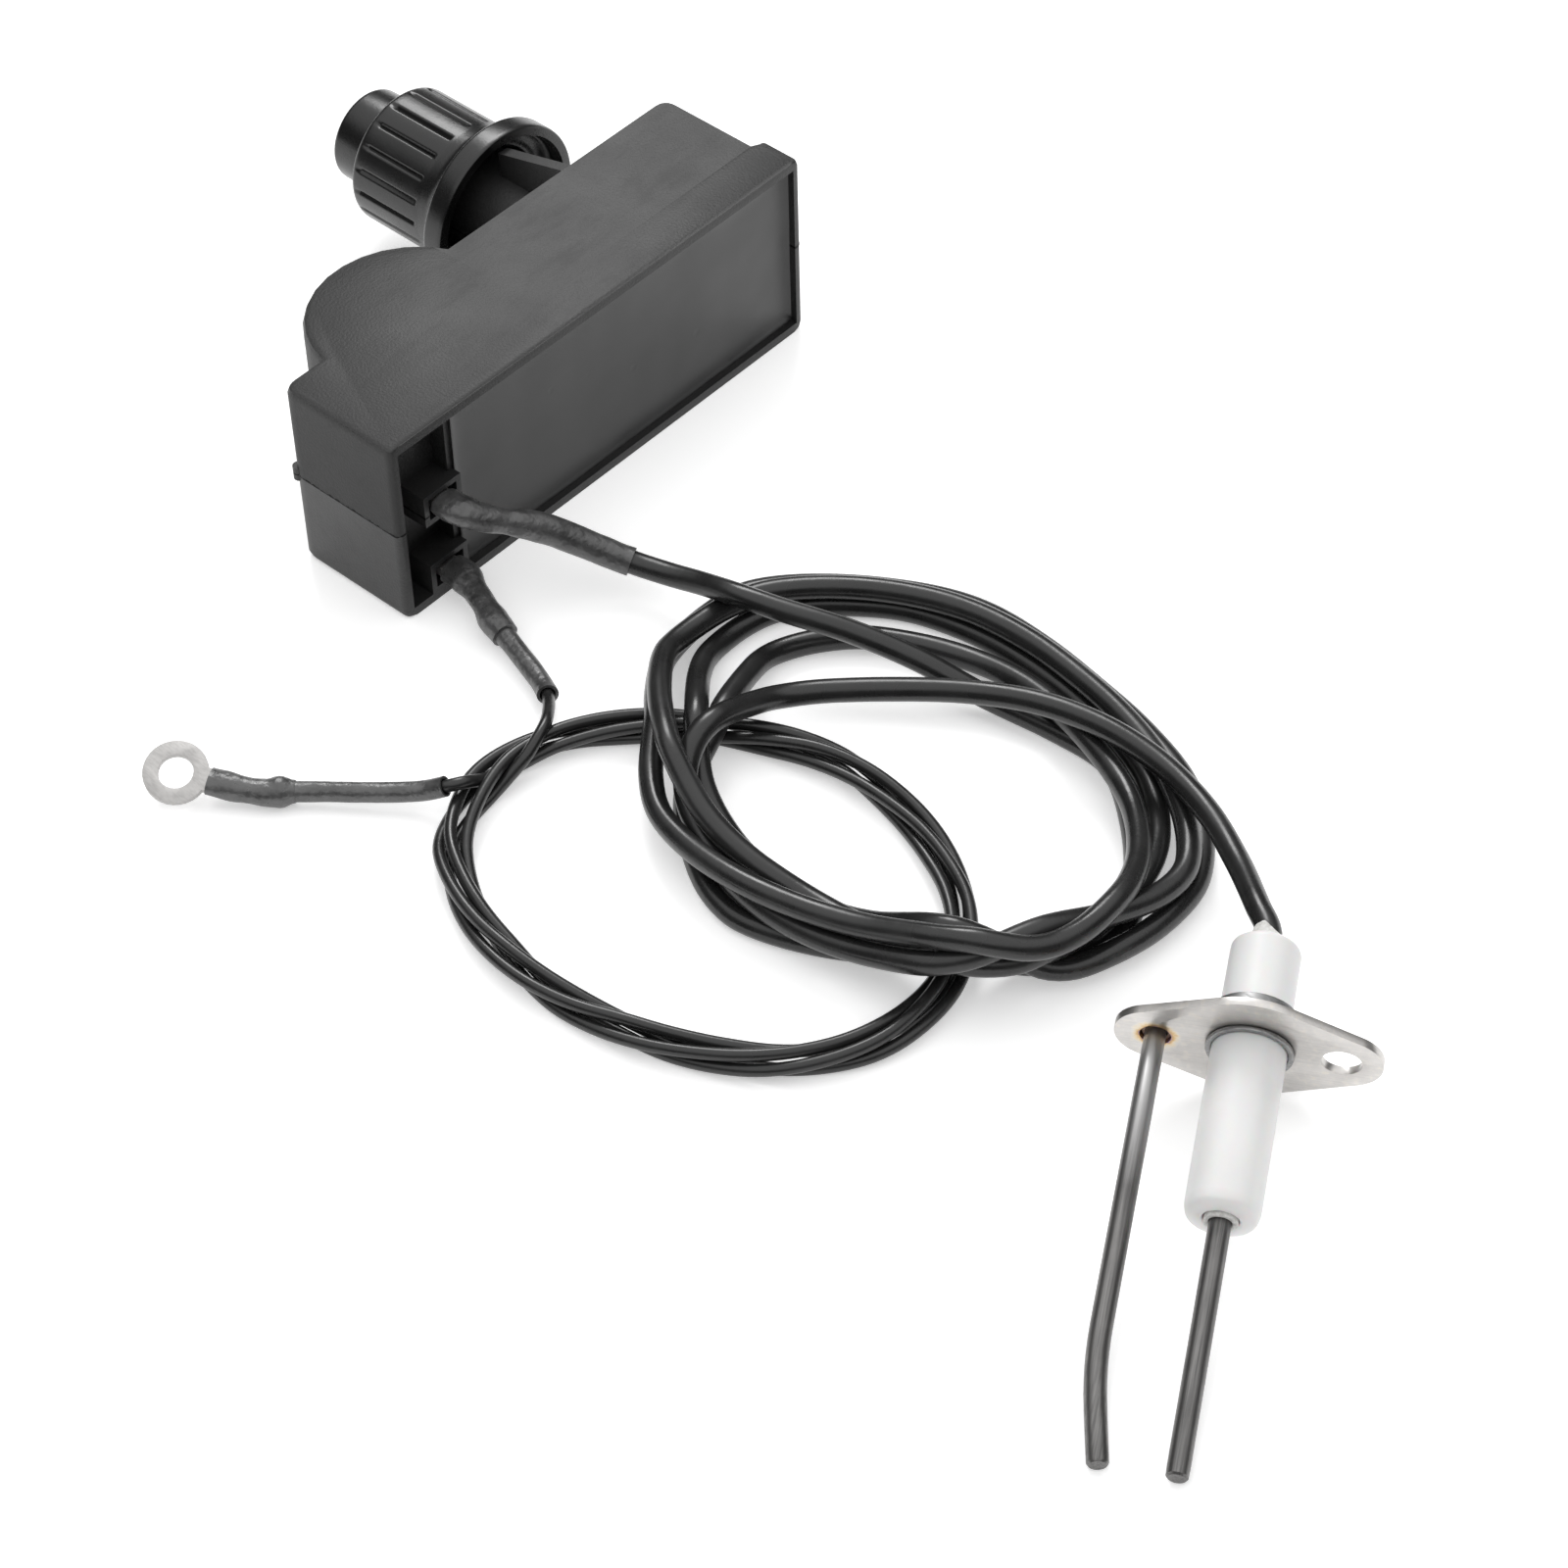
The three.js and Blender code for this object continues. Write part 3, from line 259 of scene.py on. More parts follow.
def fired_ceramic():
    """Alumina: white, a little translucent, with a few pale specks."""
    net = Net("fired_ceramic")
    cloud = net.noise(7 * MM, 3)
    speck = net.spots(1.7 * MM)
    base = net.ramp(cloud, [(0.3, (0.79, 0.79, 0.785)), (0.7, (0.83, 0.83, 0.825))])
    net.set(Base_Color=net.mix(net.steps(speck, 0.14, 0, 0.03, 0.09), base, (0.7, 0.69, 0.66)))
    net.set(Roughness=net.steps(net.noise(2 * MM, 3), 0.3, 0.42), Specular_IOR_Level=0.45)
    net.set(Subsurface_Weight=0.25, Subsurface_Scale=1.2 * MM)
    net.set(Normal=net.bump(net.noise(1.4 * MM, 3), 0.015 * MM))
    return net.material


def dry_cement():
    """Ceramic putty: rough, crumbly and off-white."""
    net = Net("dry_cement")
    crumb = net.noise(0.5 * MM, 5, 0.7)
    net.set(Base_Color=net.ramp(crumb, [(0.35, (0.62, 0.61, 0.58)), (0.65, (0.84, 0.84, 0.82))]))
    net.set(Roughness=0.85, Normal=net.bump(crumb, 0.25 * MM))
    return net.material


def metal(name, shade, rough, along=None, streak=0.35, warm=0.0):
    """Bare metal with fine drawn or rolled streaks and soft stains; gives its Net."""
    net = Net(name)
    place = net.place
    if along is not None:
        across = along.orthogonal().normalized()
        place = net.turned(across, along, across.cross(along))
    drawn = net.noise(0.22 * MM, 3, 0.6, place, (1, 40, 1))
    stain = net.noise(5 * MM, 4, 0.6)
    base = net.ramp(stain, [(0.3, grey(shade * 0.88, warm)), (0.7, grey(shade * 1.08, warm))])
    dark = net.steps(drawn, streak, 0, 0.3, 0.6)
    net.set(Base_Color=net.mix(dark, base, grey(shade * 0.35)), Metallic=1.0)
    net.set(Roughness=net.steps(drawn, rough + 0.08, rough - 0.06, 0.3, 0.7))
    net.set(Normal=net.bump(drawn, 0.01 * MM))
    return net


def painted_light_towards(net, centre, reach):
    """Lightens bare metal towards a point with painted light, fading out reach metres away from it."""
    base = net.shader.inputs["Base Color"].links[0].from_socket
    net.set(Base_Color=net.mix(net.steps(net.distance(centre), 0.8, 0, 0, reach), base, grey(0.6)))
    return net.material


def heat_tinted(net, centre, reach, strength=1.0):
    """Adds the straw, brown and purple bloom of a weld round a point."""
    base = net.shader.inputs["Base Color"].links[0].from_socket
    ragged = net.steps(net.noise(0.9 * MM, 3), -0.22, 0.22)
    share = net.maths("ADD", net.steps(net.distance(centre), 0, 1, 0, reach), ragged)
    bloom = net.ramp(
        share,
        [
            (0.0, (0.10, 0.055, 0.03)),
            (0.42, (0.13, 0.07, 0.035)),
            (0.55, (0.3, 0.2, 0.32)),
            (0.66, (0.55, 0.36, 0.16)),
            (0.8, (0.72, 0.6, 0.4)),
            (1.0, (0.78, 0.75, 0.7)),
        ],
    )
    fade = net.steps(share, strength, 0, 0.72, 1.0)
    net.set(Base_Color=net.mix(fade, base, bloom))
    return net.material


def copper_winding():
    """Close turns of enamelled wire, with painted shade in the grooves between the turns."""
    net = Net("copper_winding")
    turns = net.node("ShaderNodeTexWave", {"bands_direction": "Z"}, Vector=net.place)
    turns.inputs["Scale"].default_value = 1 / (0.7 * MM)
    # darker where the turns' bump is low: painted shade between the turns
    net.set(Base_Color=net.ramp(turns.outputs["Fac"], [(0, (0.12, 0.03, 0.01)), (1, (0.5, 0.17, 0.06))]))
    net.set(Metallic=0.8, Roughness=0.35, Normal=net.bump(turns.outputs["Fac"], 0.12 * MM))
    return net.material


def board_laminate():
    """Green circuit board with faint copper tracks under its lacquer."""
    net = Net("board_laminate")
    tracks = net.steps(net.spots(3 * MM), 0, 1, 0.42, 0.48)
    base = net.mix(net.noise(2 * MM), (0.02, 0.09, 0.035), (0.03, 0.12, 0.05))
    net.set(Base_Color=net.mix(net.maths("MULTIPLY", tracks, 0.5), base, (0.1, 0.2, 0.08)))
    net.set(Roughness=0.35, Normal=net.bump(tracks, 0.03 * MM))
    return net.material


def cell_jacket():
    """A plain battery jacket: dark body, a paler band at the contact end."""
    net = Net("cell_jacket")
    height = net.node("ShaderNodeSeparateXYZ", Vector=net.place).outputs["Y"]
    band = net.steps(height, 0, 1, 29.6 * MM, 29.8 * MM)
    dark = net.mix(net.noise(4 * MM), (0.02, 0.03, 0.05), (0.03, 0.04, 0.06))
    net.set(Base_Color=net.mix(band, dark, (0.5, 0.4, 0.2)), Metallic=0.4)
    net.set(Roughness=net.steps(net.noise(1.5 * MM), 0.25, 0.4))
    return net.material


# ---------------------------------------------------------------- shapes


def piece(name, corners, faces, material, body, *stands_for):
    """A mesh object that rides on a body and stands for CAD nodes."""
    mesh = bpy.data.meshes.new(name)
    mesh.from_pydata([tuple(c) for c in corners], [], faces)
    mesh.validate()
    mesh.materials.append(material)
    made = bpy.data.objects.new(name, mesh)
    bpy.context.scene.collection.objects.link(made)
    smoothed(made)
    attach(made, body)
    if stands_for:
        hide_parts(*stands_for)
    return made


def smoothing_group(limit):
    """Joins split corners and shades smooth across edges that bend less than limit."""
    tree = bpy.data.node_groups.new(f"smooth_{round(math.degrees(limit))}", "GeometryNodeTree")
    for way in ("INPUT", "OUTPUT"):
        tree.interface.new_socket("Geometry", in_out=way, socket_type="NodeSocketGeometry")
    source = tree.nodes.new("NodeGroupInput")
    weld = tree.nodes.new("GeometryNodeMergeByDistance")
    weld.inputs["Distance"].default_value = SAME_PLACE
    faces = tree.nodes.new("GeometryNodeSetShadeSmooth")
    edges = tree.nodes.new("GeometryNodeSetShadeSmooth")
    edges.domain = "EDGE"
    angle = tree.nodes.new("GeometryNodeInputMeshEdgeAngle")
    below = tree.nodes.new("FunctionNodeCompare")
    below.operation = "LESS_THAN"
    below.inputs["B"].default_value = limit
    sink = tree.nodes.new("NodeGroupOutput")
    link = tree.links.new
    link(source.outputs[0], weld.inputs["Geometry"])
    link(weld.outputs[0], faces.inputs["Geometry"])
    link(faces.outputs[0], edges.inputs["Geometry"])
    link(angle.outputs["Unsigned Angle"], below.inputs["A"])
    link(below.outputs[0], edges.inputs["Shade Smooth"])
    link(edges.outputs[0], sink.inputs[0])
    return tree


SMOOTH = smoothing_group(SMOOTH_ANGLE)


def smoothed(thing):
    modifier = thing.modifiers.new("smooth", "NODES")
    modifier.node_group = SMOOTH
    return thing


def finish_node(name, material, edge=0.0):
    """Dresses a CAD node that keeps its own shape; edge is the width of a small bevel."""
    thing = NODES[name]
    if "custom_normal" in thing.data.attributes:
        thing.data.attributes.remove(thing.data.attributes["custom_normal"])
    if edge:
        weld = thing.modifiers.new("weld", "WELD")
        weld.merge_threshold = SAME_PLACE
        bevel = thing.modifiers.new("edge", "BEVEL")
        bevel.width = edge
        bevel.segments = 2
        bevel.limit_method = "ANGLE"
        bevel.angle_limit = BEVEL_ANGLE
    smoothed(thing)
    thing.data.materials[0] = material
    return thing


def arc_corners(points, radius, steps=4):
    """A profile of [radius, height] points with its corners rounded."""
    rounded = [points[0]]
    for before, here, after in zip(points, points[1:], points[2:]):
        b, h, a = Vector(before), Vector(here), Vector(after)
        reach = min(radius, (b - h).length * 0.45, (a - h).length * 0.45)
        start = h + (b - h).normalized() * reach
        end = h + (a - h).normalized() * reach
        for i in range(steps + 1):
            t = i / steps
            rounded.append(tuple(start * (1 - t) ** 2 + h * 2 * t * (1 - t) + end * t * t))
    return rounded + [points[-1]]


def turned_piece(
    name, profile, origin, axis, segments, material, body, *stands_for, carve=None, raised=None
):
    """A body of revolution. profile lists (radius, distance along the axis) in millimetres
    and closes on itself. carve(angle, radius, distance) may change a point's radius, and
    raised(angle, distance) its distance."""
    across = (UP - axis * axis.dot(UP)).normalized()
    third = axis.cross(across)
    corners, faces = [], []
    for s in range(segments):
        angle = 2 * math.pi * s / segments
        out = across * math.cos(angle) + third * math.sin(angle)
        for radius, along in profile:
            size = carve(angle, radius, along) if carve else radius
            place = raised(angle, along) if raised else along
            corners.append(origin + (axis * place + out * size) * MM)
    count = len(profile)
    for s in range(segments):
        t = (s + 1) % segments
        for i in range(count):
            j = (i + 1) % count
            faces.append((s * count + i, s * count + j, t * count + j, t * count + i))
    return weld_piece(name, corners, faces, material, body, *stands_for)


def weld_piece(name, corners, faces, material, body, *stands_for):
    """Like piece(), but joins corners that meet and points every face outwards."""
    made = piece(name, corners, faces, material, body, *stands_for)
    work = bmesh.new()
    work.from_mesh(made.data)
    bmesh.ops.remove_doubles(work, verts=work.verts, dist=SAME_PLACE)
    bmesh.ops.dissolve_degenerate(work, edges=work.edges, dist=SAME_PLACE / 10)
    bmesh.ops.recalc_face_normals(work, faces=work.faces)
    work.to_mesh(made.data)
    work.free()
    return made


def ring_centres(node):
    """The middle points of the rings of a swept CAD node, from one end to the other."""
    mesh = NODES[node].data
    keys = {}
    merged = []
    places = []
    for vertex in mesh.vertices:
        key = tuple(round(c * 1e6) for c in vertex.co)
        if key not in keys:
            keys[key] = len(places)
            places.append(np.array(vertex.co))
        merged.append(keys[key])
    beside = [set() for _ in places]
    for edge in mesh.edges:
        a, b = (merged[v] for v in edge.vertices)
        if a != b:
            beside[a].add(b)
            beside[b].add(a)
    levels = spread(beside, 0)
    levels = spread(beside, next(iter(levels[-1])))
    return [Vector(np.mean([places[v] for v in level], axis=0)) for level in levels]


def spread(beside, start):
    """Sets of points at one, two, three ... edges from the start."""
    seen = {start}
    levels = [{start}]
    while levels[-1]:
        levels.append({n for v in levels[-1] for n in beside[v]} - seen)
        seen |= levels[-1]
    return levels[:-1]


def smooth_path(points, step):
    """Points every step metres along a smooth curve through the given ones."""
    ends = [points[0] * 2 - points[1], *points, points[-1] * 2 - points[-2]]
    dense = []
    for a, b, c, d in zip(ends, ends[1:], ends[2:], ends[3:]):
        knots = [0.0]
        for p, q in ((a, b), (b, c), (c, d)):
            knots.append(knots[-1] + max((q - p).length, 1e-7) ** 0.5)
        count = max(2, round((c - b).length / (step * 0.5)))
        for i in range(count):
            t = knots[1] + (knots[2] - knots[1]) * i / count
            dense.append(centripetal((a, b, c, d), knots, t))
    dense.append(points[-1])
    return even(dense, step)


def centripetal(p, k, t):
    """The Catmull-Rom curve through p at parameter t, with knots k."""

    def between(u, v, start, end):
        return u * ((end - t) / (end - start)) + v * ((t - start) / (end - start))

    first = [between(p[i], p[i + 1], k[i], k[i + 1]) for i in range(3)]
    second = [between(first[i], first[i + 1], k[i], k[i + 2]) for i in range(2)]
    return between(second[0], second[1], k[1], k[2])


def even(points, step):
    """The same line with its points an equal step apart."""
    spans = [(b - a).length for a, b in zip(points, points[1:])]
    total = np.concatenate([[0], np.cumsum(spans)])
    count = max(2, round(total[-1] / step))
    places = np.linspace(0, total[-1], count + 1)
    columns = [np.interp(places, total, [p[axis] for p in points]) for axis in range(3)]
    return [Vector(xyz) for xyz in zip(*columns)]


def cross_frames(path):
    """Two directions across the path at each of its points; the first one stays level."""
    frames = []
    for i in range(len(path)):
        along = (path[min(i + 1, len(path) - 1)] - path[max(i - 1, 0)]).normalized()
        across = along.cross(Vector((0, 0, 1))).normalized()
        frames.append((across, across.cross(along)))
    return frames


def swept_rings(path, sides, size_at):
    """Rings of corners round a path. size_at(share, point, angle) gives half width and height."""
    rings = []
    for i, (point, (across, over)) in enumerate(zip(path, cross_frames(path))):
        ring = []
        for k in range(sides):
            angle = 2 * math.pi * k / sides
            wide, high = size_at(i / (len(path) - 1), point, angle)
            ring.append(point + across * wide * math.cos(angle) + over * high * math.sin(angle))
        rings.append(ring)
    return rings


def rings_mesh(rings, closed):
    """Corners and faces of a skin over rings: a loop if closed, else with flat ends."""
    sides = len(rings[0])
    corners = [corner for ring in rings for corner in ring]
    faces = []
    for i in range(len(rings) if closed else len(rings) - 1):
        j = (i + 1) % len(rings)
        for k in range(sides):
            m = (k + 1) % sides
            faces.append((i * sides + k, i * sides + m, j * sides + m, j * sides + k))
    if not closed:
        last = (len(rings) - 1) * sides
        faces.append(tuple(range(sides))[::-1])
        faces.append(tuple(last + k for k in range(sides)))
    return corners, faces


def listed(values, share):
    """A value from an evenly spaced list, smoothly joined; share runs from 0 to 1."""
    place = share * (len(values) - 1)
    i = min(int(place), len(values) - 2)
    t = place - i
    t = t * t * (3 - 2 * t)
    return values[i] + (values[i + 1] - values[i]) * t


def lead_line(node, tab):
    """The smooth middle line of a CAD lead, starting at the end nearest to its tab."""
    line = smooth_path(ring_centres(node), 1.0 * MM)
    near = middle_of(tab)
    return line if (line[0] - near).length < (line[-1] - near).length else line[::-1]


def lead_piece(name, node, path, radius, sides, material, waver, bare=0.0):
    """A lead drawn round its line; its first bare millimetres show only the thin core."""

    def size(share, point, angle):
        insulated = min(1.0, max(0.0, share * (len(path) - 1) - bare + 1))
        swell = 1 + waver * noise.noise(point / (7 * MM))
        wide = radius * MM * swell * (0.5 + 0.5 * insulated)
        return wide, wide

    corners, faces = rings_mesh(swept_rings(path, sides, size), False)
    return weld_piece(name, corners, faces, material, "module", node)


SLEEVE_SIDES = 28
LEAST_WALL = 0.2


def sleeve_piece(node, path, wide, high, inner, lumps):
    """A shrunk sleeve with its bore: half widths and heights in millimetres along it."""
    kind = node.removesuffix("_sleeve")

    def outside(share, point, angle):
        lump = lumps * noise.noise(point / (2.2 * MM) + Vector((angle, 0, 0)) * 0.4)
        return (listed(wide, share) + lump) * MM, (listed(high, share) + lump) * MM

    def inside(share, point, angle):
        return (
            min(inner, listed(wide, share) - LEAST_WALL) * MM,
            min(inner, listed(high, share) - LEAST_WALL) * MM,
        )

    outer = swept_rings(path, SLEEVE_SIDES, outside)
    bore = swept_rings(path, SLEEVE_SIDES, inside)
    corners, faces = rings_mesh(outer + bore[::-1], True)
    weld_piece(f"sleeve_{kind}", corners, faces, sleeving, "module", node)


# ---------------------------------------------------------------- frames of the parts


def mount_place(name):
    """The point and the direction of a mount."""
    found = next(m for m in frame["record"]["mounts"] if m["name"] == name)
    return Vector(found["pos_m"]), Vector(found["axis"]).normalized()


def middle_of(node):
    low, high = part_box(node)
    return (low + high) / 2


rod_middle = middle_of("spark_rod")
flange_face, AHEAD = mount_place("electrode_flange")
FLANGE_MIDDLE = rod_middle + AHEAD * (flange_face - rod_middle).dot(AHEAD)
SIDE = AHEAD.cross(UP).normalized()


def electrode_point(x, y):
    """A point of the electrode's own plane, in millimetres sideways and ahead."""
    return FLANGE_MIDDLE + (SIDE * x + AHEAD * y) * MM


OUT = Vector((0, 1, 0))


def neck_point(node):
    """The point of the neck's axis level with the back of a node, and the node's length."""
    low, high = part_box(node)
    return Vector(((low.x + high.x) / 2, low.y, (low.z + high.z) / 2)), (high.y - low.y) / MM


# ---------------------------------------------------------------- materials in use

mould_seam = middle_of("housing").z
housing_plastic = moulded_plastic("housing_plastic", 0.013, 0.5, 0.05 * MM, seam=mould_seam)
cap_plastic = moulded_plastic("cap_plastic", 0.005, 0.27, 0.012 * MM, 0.5, 0.1)
component_plastic = moulded_plastic("component_plastic", 0.05, 0.45, 0.02 * MM)
resin = cast_resin()
thick_rubber = lead_rubber("thick_lead_rubber", 0.016, 0.26)
thin_rubber = lead_rubber("thin_lead_rubber", 0.015, 0.27)
sleeving = shrunk_sleeve()
ceramic = fired_ceramic()
cement = dry_cement()
rod_steel = metal("rod_steel", 0.18, 0.4, AHEAD, 0.6, 0.02)
collar_steel = metal("collar_steel", 0.34, 0.44, None, 0.4).material
plate_steel = metal("plate_steel", 0.57, 0.34, SIDE, 0.12, 0.03)
tinned = metal("tinned_brass", 0.48, 0.5, None, 0.15, 0.02).material
spring_steel = metal("spring_steel", 0.5, 0.28, OUT, 0.3).material
weld_steel = metal("weld_steel", 0.3, 0.42, None, 0.3)


# ---------------------------------------------------------------- module


def cap_piece():
    """The ribbed cap: a barrel with narrow grooves over a flared flange."""
    back, length = neck_point("ribbed_cap")
    low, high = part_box("ribbed_cap")
    flange = (high.z - low.z) / MM / 2
    barrel = flange - 2.75
    mouth = 6.8
    outside = [(flange - 1.4, 0), (flange - 0.1, 0), (flange, 0.5), (flange, 3), (flange - 0.45, 3.5)]
    outside += [(barrel + 0.75, 4.05), (barrel + 0.12, 5.2), (barrel, 7)]
    outside += [(barrel, 7.4), (barrel, 7.8), (barrel, length - 2.3), (barrel, length - 1.9)]
    outside += [(barrel, length - 0.2), (barrel - 1.9, length), (mouth, length)]
    inside = [(mouth, length - 1.4), (7.75, length - 1.4), (7.75, 2.7), (flange - 1.4, 2.7)]
    profile = arc_corners([*outside, *inside, (flange - 1.4, 0)], 1.5, 5)[:-1]
    grooves, depth, half_width = 18, 0.42, 0.11

    def carve(angle, radius, along):
        """Cuts the grooves, which run out at both ends, into the barrel."""
        if not (7.5 < along < length - 1.2 and radius > barrel - 1):
            return radius
        turn = (angle / (2 * math.pi) * grooves) % 1 - 0.5
        side = max(0.0, 1 - abs(turn) / half_width)
        ends = min(1.0, (along - 7.4) / 0.6, (length - 1.2 - along) / 0.8)
        return radius - depth * max(0.0, ends) * side**0.6

    turned_piece(
        "cap_ribbed",
        profile,
        back,
        OUT,
        grooves * 20,
        cap_plastic,
        "cap",
        "ribbed_cap",
        carve=carve,
    )


def button_piece():
    """The push button: a cup with a softly rounded rim and a slightly domed face."""
    back, length = neck_point("push_button")
    outside = [(5.6, 0), (7.35, 0), (7.35, 1), (6.6, 1.05), (6.58, 4), (6.52, length - 0.1)]
    face = [(5.0, length), (2.5, length - 0.02), (0, length), (0, length - 1.4)]
    profile = arc_corners([*outside, *face, (5.6, length - 1.4), (5.6, 0)], 1.1, 6)[:-1]
    turned_piece("button_cup", profile, back, OUT, 96, cap_plastic, "button", "push_button")


def potting_piece():
    """The resin face: slow waves, drawn up a little where it meets the walls."""
    low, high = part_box("potting")
    reach = 0.08 * MM
    wide, tall = 90, 40
    rise, rise_width = 0.45, 0.7
    x0, x1 = low.x - reach, high.x + reach
    z0, z1 = low.z - reach, high.z + reach

    def front(x, z):
        """The depth of the resin's face at a place."""
        edge = min(x - x0, x1 - x, z - z0, z1 - z) / MM
        wave = noise.noise(Vector((x, 0.3, z)) / (16 * MM)) * 0.16
        ripple = noise.noise(Vector((x, 1.3, z)) / (5 * MM)) * 0.03
        return low.y + (wave + ripple - rise * math.exp(-edge / rise_width)) * MM

    def share(i, count):
        """Where line i of the grid lies, closer together towards both ends."""
        return 0.5 - 0.5 * math.cos(math.pi * i / count)

    corners = []
    for i in range(wide + 1):
        for k in range(tall + 1):
            x = x0 + (x1 - x0) * share(i, wide)
            z = z0 + (z1 - z0) * share(k, tall)
            corners.append((x, front(x, z), z))
    row = tall + 1
    faces = [
        (i * row + k, i * row + k + 1, (i + 1) * row + k + 1, (i + 1) * row + k)
        for i in range(wide)
        for k in range(tall)
    ]
    border = [i * row for i in range(wide + 1)]
    border += [wide * row + k for k in range(1, tall + 1)]
    border += [i * row + tall for i in range(wide - 1, -1, -1)]
    border += [k for k in range(tall - 1, 0, -1)]
    start = len(corners)
    corners += [(corners[v][0], high.y, corners[v][2]) for v in border]
    count = len(border)
    for i in range(count):
        j = (i + 1) % count
        faces.append((border[i], border[j], start + j, start + i))
    faces.append(tuple(start + i for i in range(count)))
    weld_piece("potting_face", corners, faces, resin, "module", "potting")


def shorten_with(node):
    """Gives a spring's object its own copy of its mesh."""
    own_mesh(NODES[node])


finish_node("housing", housing_plastic)
cap_piece()
button_piece()
potting_piece()
finish_node("circuit_board", board_laminate(), 0.1 * MM)
finish_node("high_voltage_transformer", copper_winding())
finish_node("charging_coil", copper_winding(), 0.2 * MM)
finish_node("storage_capacitor", component_plastic)
finish_node("switching_transistor", component_plastic, 0.15 * MM)
for name in ("high_voltage_tab", "earth_tab", "high_voltage_receptacle", "earth_receptacle"):
    finish_node(name, tinned, 0.08 * MM)
finish_node("contact_strip", tinned)
finish_node("button_contact", tinned)
finish_node("aaa_cell", cell_jacket())
finish_node("rear_contact_spring", spring_steel)
finish_node("return_spring", spring_steel)
shorten_with("return_spring")


# ---------------------------------------------------------------- leads and sleeves


def cut_path(path, length):
    """The first length metres of a path."""
    run = 0.0
    kept = [path[0]]
    for a, b in zip(path, path[1:]):
        run += (b - a).length
        if run > length:
            break
        kept.append(b)
    return kept


def socket_path(tab, sleeve, lead, length):
    """The line of a sleeve that starts over a tab's receptacle and goes on round the lead."""
    middle = middle_of(tab)
    start = Vector((middle.x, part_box(sleeve)[1].y, middle.z))
    points = [start, start - OUT * 2 * MM, *lead[2:]]
    return cut_path(smooth_path(points, SLEEVE_STEP), length * MM)


def path_after(sleeve, path, length):
    """The first length millimetres of a path beyond the end of a sleeve's line."""
    first = min(range(len(path)), key=lambda i: (path[i] - sleeve[-1]).length)
    return cut_path(path[first:], length * MM)


SLEEVE_STEP = 0.5 * MM
HIGH_RADIUS = 1.5
EARTH_RADIUS = 0.78
BARE_LENGTH = 7

high_lead = lead_line("high_voltage_lead", "high_voltage_tab")
earth_lead = lead_line("earth_lead", "earth_tab")
lead_piece(
    "lead_high_voltage",
    "high_voltage_lead",
    high_lead,
    HIGH_RADIUS,
    sides=24,
    material=thick_rubber,
    waver=0.02,
    bare=BARE_LENGTH,
)
lead_piece(
    "lead_earth",
    "earth_lead",
    earth_lead,
    EARTH_RADIUS,
    sides=18,
    material=thin_rubber,
    waver=0.04,
)

sleeve_piece(
    "high_voltage_sleeve",
    socket_path("high_voltage_tab", "high_voltage_sleeve", high_lead, 25.5),
    [2.2, 2.25, 1.95, 1.55, 1.9, 1.95, 1.92, 1.86, 1.86, 1.84],
    [1.6, 1.75, 1.7, 1.55, 1.9, 1.95, 1.92, 1.86, 1.86, 1.84],
    1.58,
    0.1,
)
earth_socket_line = socket_path("earth_tab", "earth_receptacle_sleeve", earth_lead, 13)
sleeve_piece(
    "earth_receptacle_sleeve",
    earth_socket_line,
    [2.2, 2.2, 1.6, 1.55, 1.95, 1.75],
    [1.6, 1.75, 1.5, 1.5, 1.95, 1.75],
    1.2,
    0.14,
)


sleeve_piece(
    "earth_lead_sleeve",
    path_after(earth_socket_line, smooth_path(earth_lead, SLEEVE_STEP), 12),
    [1.38, 1.3, 1.35, 1.3, 1.36],
    [1.3, 1.3, 1.3, 1.3, 1.3],
    0.98,
    0.05,
)


def ring_axis():
    """The middle of the ring terminal's eye and the direction of its barrel."""
    spots = np.unique(
        np.round([tuple(v.co) for v in NODES["ring_terminal"].data.vertices], 6), axis=0
    )
    centre = Vector(spots.mean(axis=0))
    barrel = (earth_lead[-1] - centre).normalized()
    far = min((Vector(spot) - centre).dot(barrel) for spot in spots)
    return centre + barrel * (far + 4 * MM), barrel


eye, barrel = ring_axis()
barrel_points = [eye + barrel * d * MM for d in (4.2, 6, 8)]
ring_path = smooth_path(barrel_points + earth_lead[::-1][1:], SLEEVE_STEP)
ring_line = cut_path(ring_path, 10.8 * MM)
sleeve_piece(
    "ring_terminal_sleeve",
    ring_line,
    [1.95, 1.9, 1.75, 1.62, 1.7, 1.95, 1.4],
    [1.3, 1.5, 1.6, 1.55, 1.7, 1.9, 1.4],
    1.1,
    0.12,
)
sleeve_piece(
    "ring_lead_sleeve",
    path_after(ring_line, ring_path, 19),
    [1.3, 1.26, 1.28, 1.25, 1.28],
    [1.25, 1.25, 1.25, 1.25, 1.25],
    0.98,
    0.04,
)
finish_node("ring_terminal", tinned, 0.12 * MM)


# ---------------------------------------------------------------- electrode


def reach_of(node):
    """How far a node runs along the electrode's axis, in millimetres from the flange."""
    along = [(v.co - FLANGE_MIDDLE).dot(AHEAD) / MM for v in NODES[node].data.vertices]
    return min(along), max(along)


